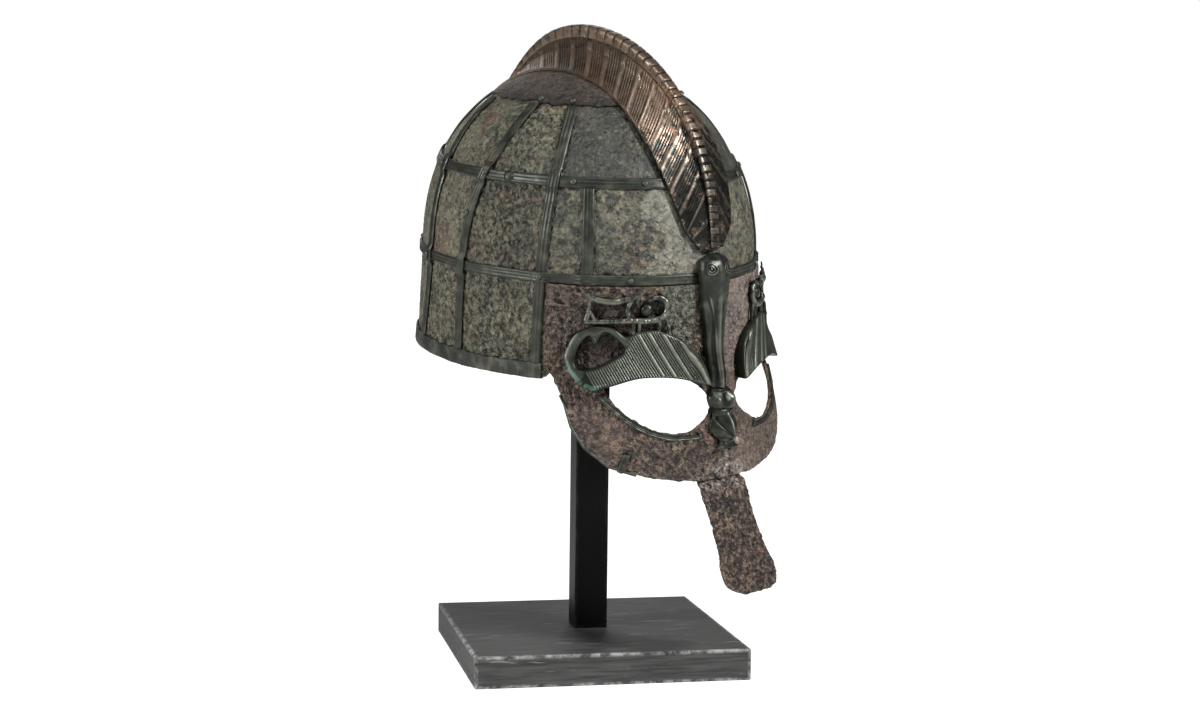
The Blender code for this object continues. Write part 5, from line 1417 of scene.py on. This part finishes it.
def makeMounts():
    for side, word in ((1, "right"), (-1, "left")):
        bars = []
        for number, bar in enumerate(mountBars):
            line = openCurve(bar["path"], mountLook["steps"])
            angle, z = side * line[:, 0], -line[:, 1] / 1000
            wave = 0.0005 * clouds(np.stack([angle / 100, z, 0 * z], 1), 0.006, 2, 80 + number)
            away = overVisor(z) + mountLook["lift"] + wave + 0.0006 * (number == 0)
            middle = shellPoint(angle, z, away)
            outward = shellPoint(angle, z, away + 0.01) - middle
            outward /= np.linalg.norm(outward, axis=1)[:, None]
            bars.append(roundBar(f"mount_bar_{word}_{number}", middle, outward, line[:, 2] / 1000 * mountLook["thick"], bar["flat"], mountLook["sides"]))
        deselectAll()
        bpy.ops.mesh.primitive_uv_sphere_add(segments=32, ring_count=20, radius=mountBoss["radius"] / 1000)
        boss = bpy.context.object
        z = -mountBoss["drop"] / 1000
        seat = shellPoint(side * mountBoss["angle"], z, float(overVisor(z)))
        outward = Vector(shellPoint(side * mountBoss["angle"], z, 1.0) - shellPoint(side * mountBoss["angle"], z))
        boss.data.transform(
            Matrix.Translation(Vector(seat)) @ outward.to_track_quat("Z", "Y").to_matrix().to_4x4()
            @ Matrix.Diagonal((1.0, 1.0, mountBoss["rise"] / mountBoss["radius"], 1.0))
        )
        mount = joinAll(bars[0], bars[1:] + [boss])
        mount.name = mount.data.name = f"scroll_mount_{word}"
        applyModifier(mount, "REMESH", mode="VOXEL", voxel_size=mountLook["voxel"])
        applyModifier(mount, "SMOOTH", factor=0.5, iterations=1)
        points = pointsOf(mount)
        setPoints(mount, points + normalsOf(mount) * (0.00016 * clouds(points, 0.0030, 2, 91))[:, None])
        rise = shellOffset(points) - overVisor(points[:, 2])
        setAttribute(mount, "depth", np.clip(0.60 - rise / 0.0040 + 0.4 * clouds(points, 0.004, 2, 92), -0.6, 0.7))
        finishPiece(mount, castBronze, [f"pierced_mount_{word}"], angle=70.0)


makeMounts()
report("pierced mounts")


# the beast's head that ends the crest: ring-and-dot eyes, a keel down the middle, a crescent on each cheek

headLook = {
    "top": 0.0150, "length": 0.0810, "width": 0.0220, "depth": 0.0085, "rows": 330, "columns": 121,
    "eyeDown": 0.0083, "eyeAcross": 0.66, "ringRise": 0.00032, "keel": 0.0013, "crescent": 0.00055,
}
headRows = [
    {"down": 0.00, "width": 0.60, "depth": 0.40}, {"down": 0.04, "width": 0.86, "depth": 0.74},
    {"down": 0.10, "width": 1.00, "depth": 0.97}, {"down": 0.24, "width": 0.98, "depth": 1.00},
    {"down": 0.37, "width": 0.90, "depth": 0.86}, {"down": 0.50, "width": 0.76, "depth": 0.76},
    {"down": 0.62, "width": 0.67, "depth": 0.70}, {"down": 0.78, "width": 0.61, "depth": 0.68},
    {"down": 0.93, "width": 0.60, "depth": 0.72}, {"down": 1.00, "width": 0.54, "depth": 0.66},
]
noseLook = {"length": 0.0370, "width": 0.0225, "depth": 0.0090, "rows": 190, "columns": 91}
noseRows = [
    {"down": 0.00, "width": 0.58, "depth": 0.60}, {"down": 0.13, "width": 0.90, "depth": 0.80},
    {"down": 0.27, "width": 0.88, "depth": 0.80}, {"down": 0.42, "width": 0.66, "depth": 0.70},
    {"down": 0.53, "width": 0.88, "depth": 0.90}, {"down": 0.66, "width": 1.00, "depth": 1.00},
    {"down": 0.78, "width": 0.72, "depth": 0.94}, {"down": 0.87, "width": 0.46, "depth": 0.56},
    {"down": 1.00, "width": 0.82, "depth": 0.50},
]


def frontSeat(z):
    # where a mount down the middle of the front sits, over the hoop or the visor
    over = np.maximum(2 * shape["gap"] + shape["stripWall"], overVisor(0.0))
    high = shellPoint(0.0, z, over + shape["gap"])[:, 1]
    low = shellPoint(0.0, z, overVisor(z) + shape["gap"])[:, 1]
    return np.where(z > -visorLook["topDrop"], high, low)


def halfRound(name, z, width, depth, columns, fullness, backing=13):
    # rows of flat-backed half rounds down the front, with their outward faces first
    turn = np.linspace(0, math.pi, columns)
    x = -width[:, None] / 2 * np.cos(turn)[None, :]
    rise = depth[:, None] * np.sin(turn)[None, :] ** fullness
    seat = frontSeat(z)
    return turn, x, rise, seat


def closeBack(name, x, y, z, width, seat, backing=15):
    back = np.linspace(0.5, -0.5, backing)[1:-1]
    xs = np.concatenate([x, width[:, None] * back[None, :]], 1)
    ys = np.concatenate([y, np.repeat(seat[:, None], len(back), 1)], 1)
    turned = ridgeTurned(xs, ys)
    return tubeSheet(name, np.stack([turned[0], turned[1], np.repeat(z[:, None], xs.shape[1], 1)], -1))


def makeBeastHead():
    look = headLook
    down = np.linspace(0, 1, look["rows"]) ** 0.94
    z = look["top"] - look["length"] * down
    cap = np.sqrt(np.clip(1 - (1 - np.clip(down / 0.045, 0, 1)) ** 2, 0.02, 1))
    width = look["width"] * readTable(headRows, "down", "width", down) * (0.55 + 0.45 * cap)
    depth = look["depth"] * readTable(headRows, "down", "depth", down) * cap
    turn, x, rise, seat = halfRound("beast_head", z, width, depth, look["columns"], 0.72)
    across = -np.cos(turn)[None, :] + 0 * z[:, None]
    drop = (look["top"] - z)[:, None] + 0 * across
    hollow = np.zeros_like(x)
    # the keel: a soft round ridge over the brow, sharper down the snout
    sharp = softStep((drop - 0.016) / 0.030)
    keel = np.exp(-(np.abs(x) / (0.0026 - 0.0013 * sharp)) ** 1.6)
    rise = rise + look["keel"] * keel * (0.35 + 0.65 * sharp) * cap[:, None]
    rise -= 0.0011 * sharp * np.exp(-((np.abs(x) - 0.0036) / 0.0014) ** 2)
    hollow += 0.9 * sharp * np.exp(-((np.abs(x) - 0.0034) / 0.0012) ** 2) - 0.9 * keel * (0.3 + 0.7 * sharp)
    # the crescent: a lip that sweeps from the cheek down to the keel, with the snout's flat beside it
    line = np.interp(drop[:, 0], [0.024, 0.030, 0.036, 0.044, 0.055, 0.072], [0.74, 0.62, 0.47, 0.34, 0.28, 0.25])[:, None]
    gate = softStep((drop - 0.0245) / 0.003) * softStep((0.079 - drop) / 0.010)
    lip = np.exp(-((np.abs(across) - line) / 0.045) ** 2)
    step = softStep((line - np.abs(across)) / 0.09 + 0.5)
    rise += gate * look["crescent"] * (lip + 0.35 * step)
    hollow += gate * (0.75 * np.exp(-((np.abs(across) - line - 0.10) / 0.05) ** 2) - 0.95 * lip)
    # the eyes: a dot in two rings on each side of the brow
    sideways = x * 1.0
    for side in (-1, 1):
        centreX = side * look["eyeAcross"] * look["width"] / 2
        bulge = np.abs(np.sin(turn))[None, :] + 0 * x
        slope = np.sqrt(np.clip(1 - (x / (width[:, None] / 2)) ** 2, 0.12, 1))
        reach = np.hypot((sideways - centreX) / slope * 0.80, drop - look["eyeDown"])
        rings = np.exp(-((reach - 0.0034) / 0.00042) ** 2) + np.exp(-((reach - 0.0019) / 0.00036) ** 2) + np.exp(-((reach / 0.0007) ** 2))
        rise += look["ringRise"] * rings - 0.00012 * (reach < 0.0040)
        hollow += (reach < 0.0042) * (0.65 - 1.5 * rings)
    cloud = clouds(np.stack([x, 0 * x, drop], -1).reshape(-1, 3), 0.007, 3, 95).reshape(x.shape)
    rise += 0.00016 * cloud * np.sin(turn)[None, :]
    seam = drop > look["length"] - 0.0012
    rise -= 0.0004 * seam * np.sin(turn)[None, :]
    head = closeBack("beast_head_casting", x, seat[:, None] - rise, z, width, seat)
    points = pointsOf(head)
    # read the tone back from the nearest place on the grid
    level = np.clip(np.interp(points[:, 2], z[::-1], np.arange(len(z))[::-1]), 0, len(z) - 1)
    row = np.rint(level).astype(int)
    unturned = points[:, 0] * math.cos(math.radians(crestLook["turn"])) + points[:, 1] * math.sin(math.radians(crestLook["turn"]))
    share = np.clip(-unturned / (width[row] / 2), -1, 1)
    column = np.rint(np.arccos(share) / math.pi * (look["columns"] - 1)).astype(int)
    tone = hollow[row, column] + 0.35 * cloud[row, column]
    setAttribute(head, "depth", np.clip(tone * 0.5, -0.5, 0.6))
    return finishPiece(head, castBronze, ["beast_head"], angle=60.0)


def makeNoseMount():
    look = noseLook
    down = np.linspace(0, 1, look["rows"])
    z = headLook["top"] - headLook["length"] - shape["gap"] - look["length"] * down
    ends = np.sqrt(np.clip(1 - (1 - np.clip(np.minimum(down, 1 - down) / 0.03, 0, 1)) ** 2, 0.05, 1))
    width = look["width"] * readTable(noseRows, "down", "width", down) * (0.7 + 0.3 * ends)
    depth = look["depth"] * readTable(noseRows, "down", "depth", down) * ends
    # round knobs above, then a snout of flat facets, then a flared tip
    facet = softStep((down - 0.36) / 0.10) * softStep((0.90 - down) / 0.10)
    turn, x, rise, seat = halfRound("nose", z, width, depth, look["columns"], 0.75)
    across = np.abs(-np.cos(turn))[None, :] + 0 * z[:, None]
    diamond = depth[:, None] * (1 - across) * 1.12 + 0.0004
    rise = rise * (1 - facet[:, None]) + np.minimum(diamond, rise * 1.05) * facet[:, None]
    d = down[:, None] + 0 * x
    knob = np.exp(-((across - 0.62) / 0.24) ** 2 - ((d - 0.17) / 0.085) ** 2)
    rise += 0.0016 * knob - 0.0010 * np.exp(-(across / 0.22) ** 2 - ((d - 0.13) / 0.07) ** 2)
    hollow = 0.9 * np.exp(-(across / 0.20) ** 2 - ((d - 0.12) / 0.07) ** 2) - 0.6 * knob
    groove = np.exp(-((d - 0.335) / 0.022) ** 2) + 0.8 * np.exp(-((d - 0.035) / 0.016) ** 2)
    rise -= 0.0006 * groove
    hollow += 1.0 * groove
    # slanted cuts that leave a leaf on each side of the snout
    for side in (-1, 1):
        cut = np.exp(-(((-np.cos(turn)[None, :] * side) - (0.95 - (d - 0.42) * 2.6)) / 0.10) ** 2) * softStep((d - 0.44) / 0.04) * softStep((0.80 - d) / 0.06)
        rise -= 0.0007 * cut
        hollow += 0.9 * cut
    keel = np.exp(-(across / 0.07) ** 2) * facet[:, None]
    rise += 0.0006 * keel
    hollow -= 0.8 * keel
    tip = softStep((d - 0.86) / 0.06)
    rise += 0.0011 * tip * across
    hollow += 0.5 * tip * (1 - across)
    cloud = clouds(np.stack([x, 0 * x, d * look["length"]], -1).reshape(-1, 3), 0.005, 3, 97).reshape(x.shape)
    rise += 0.00022 * cloud * np.sin(turn)[None, :]
    nose = closeBack("nose_casting", x, seat[:, None] - rise, z, width, seat)
    points = pointsOf(nose)
    row = np.rint(np.clip(np.interp(points[:, 2], z[::-1], np.arange(len(z))[::-1]), 0, len(z) - 1)).astype(int)
    unturned = points[:, 0] * math.cos(math.radians(crestLook["turn"])) + points[:, 1] * math.sin(math.radians(crestLook["turn"]))
    column = np.rint(np.arccos(np.clip(-unturned / (width[row] / 2), -1, 1)) / math.pi * (look["columns"] - 1)).astype(int)
    setAttribute(nose, "depth", np.clip((hollow[row, column] + 0.4 * cloud[row, column]) * 0.5, -0.5, 0.6))
    return finishPiece(nose, castBronze, ["nose_mount"], angle=50.0)


makeBeastHead()
makeNoseMount()
report("beast head and nose mount")


# the stand: a stained oak base and a satin post; the pad inside the crown keeps its CAD shape

standLook = {"width": 0.175, "height": 0.020, "post": 0.0215, "turn": -30.65, "bevel": 0.0010, "wear": 0.0016, "cuts": 5}


def wornBlock(name, bevel):
    # rounds the edges of a block and marks them as worn, with a narrow band of wear beside them
    block = bpy.context.object
    block.name = block.data.name = name
    bpy.ops.object.mode_set(mode="EDIT")
    bpy.ops.mesh.select_all(action="SELECT")
    bpy.ops.mesh.bevel(offset=bevel, segments=3, affect="EDGES")
    bpy.ops.mesh.select_all(action="DESELECT")
    bpy.ops.object.mode_set(mode="OBJECT")
    areas = np.array([face.area for face in block.data.polygons])
    for face in block.data.polygons:
        face.select = bool(face.area > areas.max() * 0.05)
    bpy.ops.object.mode_set(mode="EDIT")
    bpy.ops.mesh.select_mode(type="FACE")
    bpy.ops.mesh.inset(thickness=standLook["wear"], use_individual=True)
    bpy.ops.object.mode_set(mode="OBJECT")
    inside = np.zeros(len(block.data.vertices))
    for face in block.data.polygons:
        if face.select:
            inside[list(face.vertices)] = 1
    setAttribute(block, "wear", 1 - inside)
    return block


def makeStand():
    turn = Matrix.Rotation(math.radians(standLook["turn"]), 4, "Z")
    width, height = standLook["width"], standLook["height"]
    deselectAll()
    bpy.ops.mesh.primitive_cube_add(size=1)
    bpy.context.object.data.transform(Matrix.Diagonal((width, width, height, 1.0)))
    base = wornBlock("oak_base", standLook["bevel"])
    base.data.transform(turn @ Matrix.Translation((0, 0, height / 2)))
    finishPiece(base, baseWood, ["stand_base"], onHelmet=False, angle=30.0)

    low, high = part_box("stand_post")
    cad = pointsOf(nodes["stand_post"])
    top = cad[cad[:, 2] > (low[2] + high[2]) / 2]
    plane = np.linalg.lstsq(np.c_[top[:, :2], np.ones(len(top))], top[:, 2], rcond=None)[0]
    deselectAll()
    bpy.ops.mesh.primitive_cube_add(size=1)
    bpy.context.object.data.transform(Matrix.Diagonal((standLook["post"], standLook["post"], 1.0, 1.0)))
    post = wornBlock("black_post", 0.0007)
    points = pointsOf(post)
    spot = points[:, :2] @ np.array(turn.to_2x2()).T
    under, over = height, plane[0] * spot[:, 0] + plane[1] * spot[:, 1] + plane[2]
    z = np.where(points[:, 2] > 0, over - (0.5 - points[:, 2]), under + (points[:, 2] + 0.5))
    setPoints(post, np.c_[spot, z])
    finishPiece(post, postWood, ["stand_post"], onHelmet=False, angle=30.0)
    pad = nodes["stand_pad"]
    pad.data.materials.clear()
    pad.data.materials.append(postWood)


makeStand()
report("stand")


# camera: the photograph's view, from the helmet's front right and a little above

cameraLook = {"azimuth": 42.0, "distance": 1.4229, "height": 0.3148, "pitch": 4.653, "pan": 0.241, "roll": 0.704, "lens": 65.775}


def makeCamera():
    round_, pitch, roll = (math.radians(cameraLook[key]) for key in ("azimuth", "pitch", "roll"))
    away = cameraLook["distance"]
    place = Vector((-math.sin(round_) * away, -math.cos(round_) * away, cameraLook["height"]))
    heading = round_ + math.radians(cameraLook["pan"])
    right = Vector((math.cos(heading), -math.sin(heading), 0))
    forward = Vector((math.sin(heading) * math.cos(pitch), math.cos(heading) * math.cos(pitch), -math.sin(pitch)))
    up = right.cross(forward)
    turnedRight = right * math.cos(roll) + up * math.sin(roll)
    turnedUp = -right * math.sin(roll) + up * math.cos(roll)
    deselectAll()
    bpy.ops.object.camera_add()
    camera = bpy.context.object
    camera.name = "photograph_view"
    camera.data.lens = cameraLook["lens"]
    camera.data.sensor_width = 36.0
    camera.matrix_world = Matrix((
        (*(a for a in (turnedRight.x, turnedUp.x, -forward.x)), place.x),
        (*(a for a in (turnedRight.y, turnedUp.y, -forward.y)), place.y),
        (*(a for a in (turnedRight.z, turnedUp.z, -forward.z)), place.z),
        (0, 0, 0, 1),
    ))
    bpy.context.scene.camera = camera


makeCamera()

# a white sweep and large soft lights: the key is high on the camera's right

studio = {
    "floorSize": 12.0,
    "floorGlow": 0.86,
    "key": {"place": (0.40, -1.50, 1.20), "size": 0.30, "watts": 44.0},
    "fill": {"place": (-1.80, 0.45, 0.85), "size": 0.40, "watts": 36.0},
    "top": {"place": (-0.55, -0.45, 1.85), "size": 0.50, "watts": 9.0},
    "back": {"place": (0.90, 1.40, 1.00), "size": 1.20, "watts": 5.0},
    "worldLight": 0.10,
}


def makeFloor():
    deselectAll()
    bpy.ops.mesh.primitive_plane_add(size=studio["floorSize"])
    floor = bpy.context.object
    floor.name = floor.data.name = "studio_floor"
    material, tree, shader = newMaterial("white_card_matt")
    shader.inputs["Base Color"].default_value = (0.9, 0.9, 0.9, 1.0)
    shader.inputs["Roughness"].default_value = 0.9
    # the card looks lit through to the camera, but throws no light of its own up at the helmet
    rays = addNode(tree, "ShaderNodeLightPath")
    share = addNode(tree, "ShaderNodeMath", {0: rays.outputs["Is Camera Ray"], 1: studio["floorGlow"]}, operation="MULTIPLY")
    glow = addNode(tree, "ShaderNodeEmission", {"Strength": 1.3})
    both = addNode(tree, "ShaderNodeMixShader", {0: share.outputs[0], 1: shader.outputs[0], 2: glow.outputs[0]})
    tree.links.new(both.outputs[0], tree.nodes["Material Output"].inputs["Surface"])
    floor.data.materials.append(material)


def makeLights():
    for name in ("key", "fill", "top", "back"):
        look = studio[name]
        deselectAll()
        bpy.ops.object.light_add(type="AREA", location=look["place"])
        light = bpy.context.object
        light.name = f"{name}_light"
        light.data.shape = "SQUARE"
        light.data.size = look["size"]
        light.data.energy = look["watts"]
        aim = Vector((0.0, 0.0, 0.22)) - Vector(look["place"])
        light.rotation_euler = aim.to_track_quat("-Z", "Y").to_euler()
    world = bpy.context.scene.world or bpy.data.worlds.new("studio")
    bpy.context.scene.world = world
    world.use_nodes = True
    tree = world.node_tree
    tree.nodes.clear()
    rays = addNode(tree, "ShaderNodeLightPath")
    seen = addNode(tree, "ShaderNodeBackground", {"Color": (1.0, 1.0, 1.0, 1.0), "Strength": 1.0})
    lit = addNode(tree, "ShaderNodeBackground", {"Color": (1.0, 1.0, 1.0, 1.0), "Strength": studio["worldLight"]})
    both = addNode(tree, "ShaderNodeMixShader", {0: rays.outputs["Is Camera Ray"], 1: lit.outputs[0], 2: seen.outputs[0]})
    addNode(tree, "ShaderNodeOutputWorld", {"Surface": both.outputs[0]})
    bpy.context.scene.view_settings.view_transform = "Standard"


makeFloor()
makeLights()
report("camera, floor and lights")
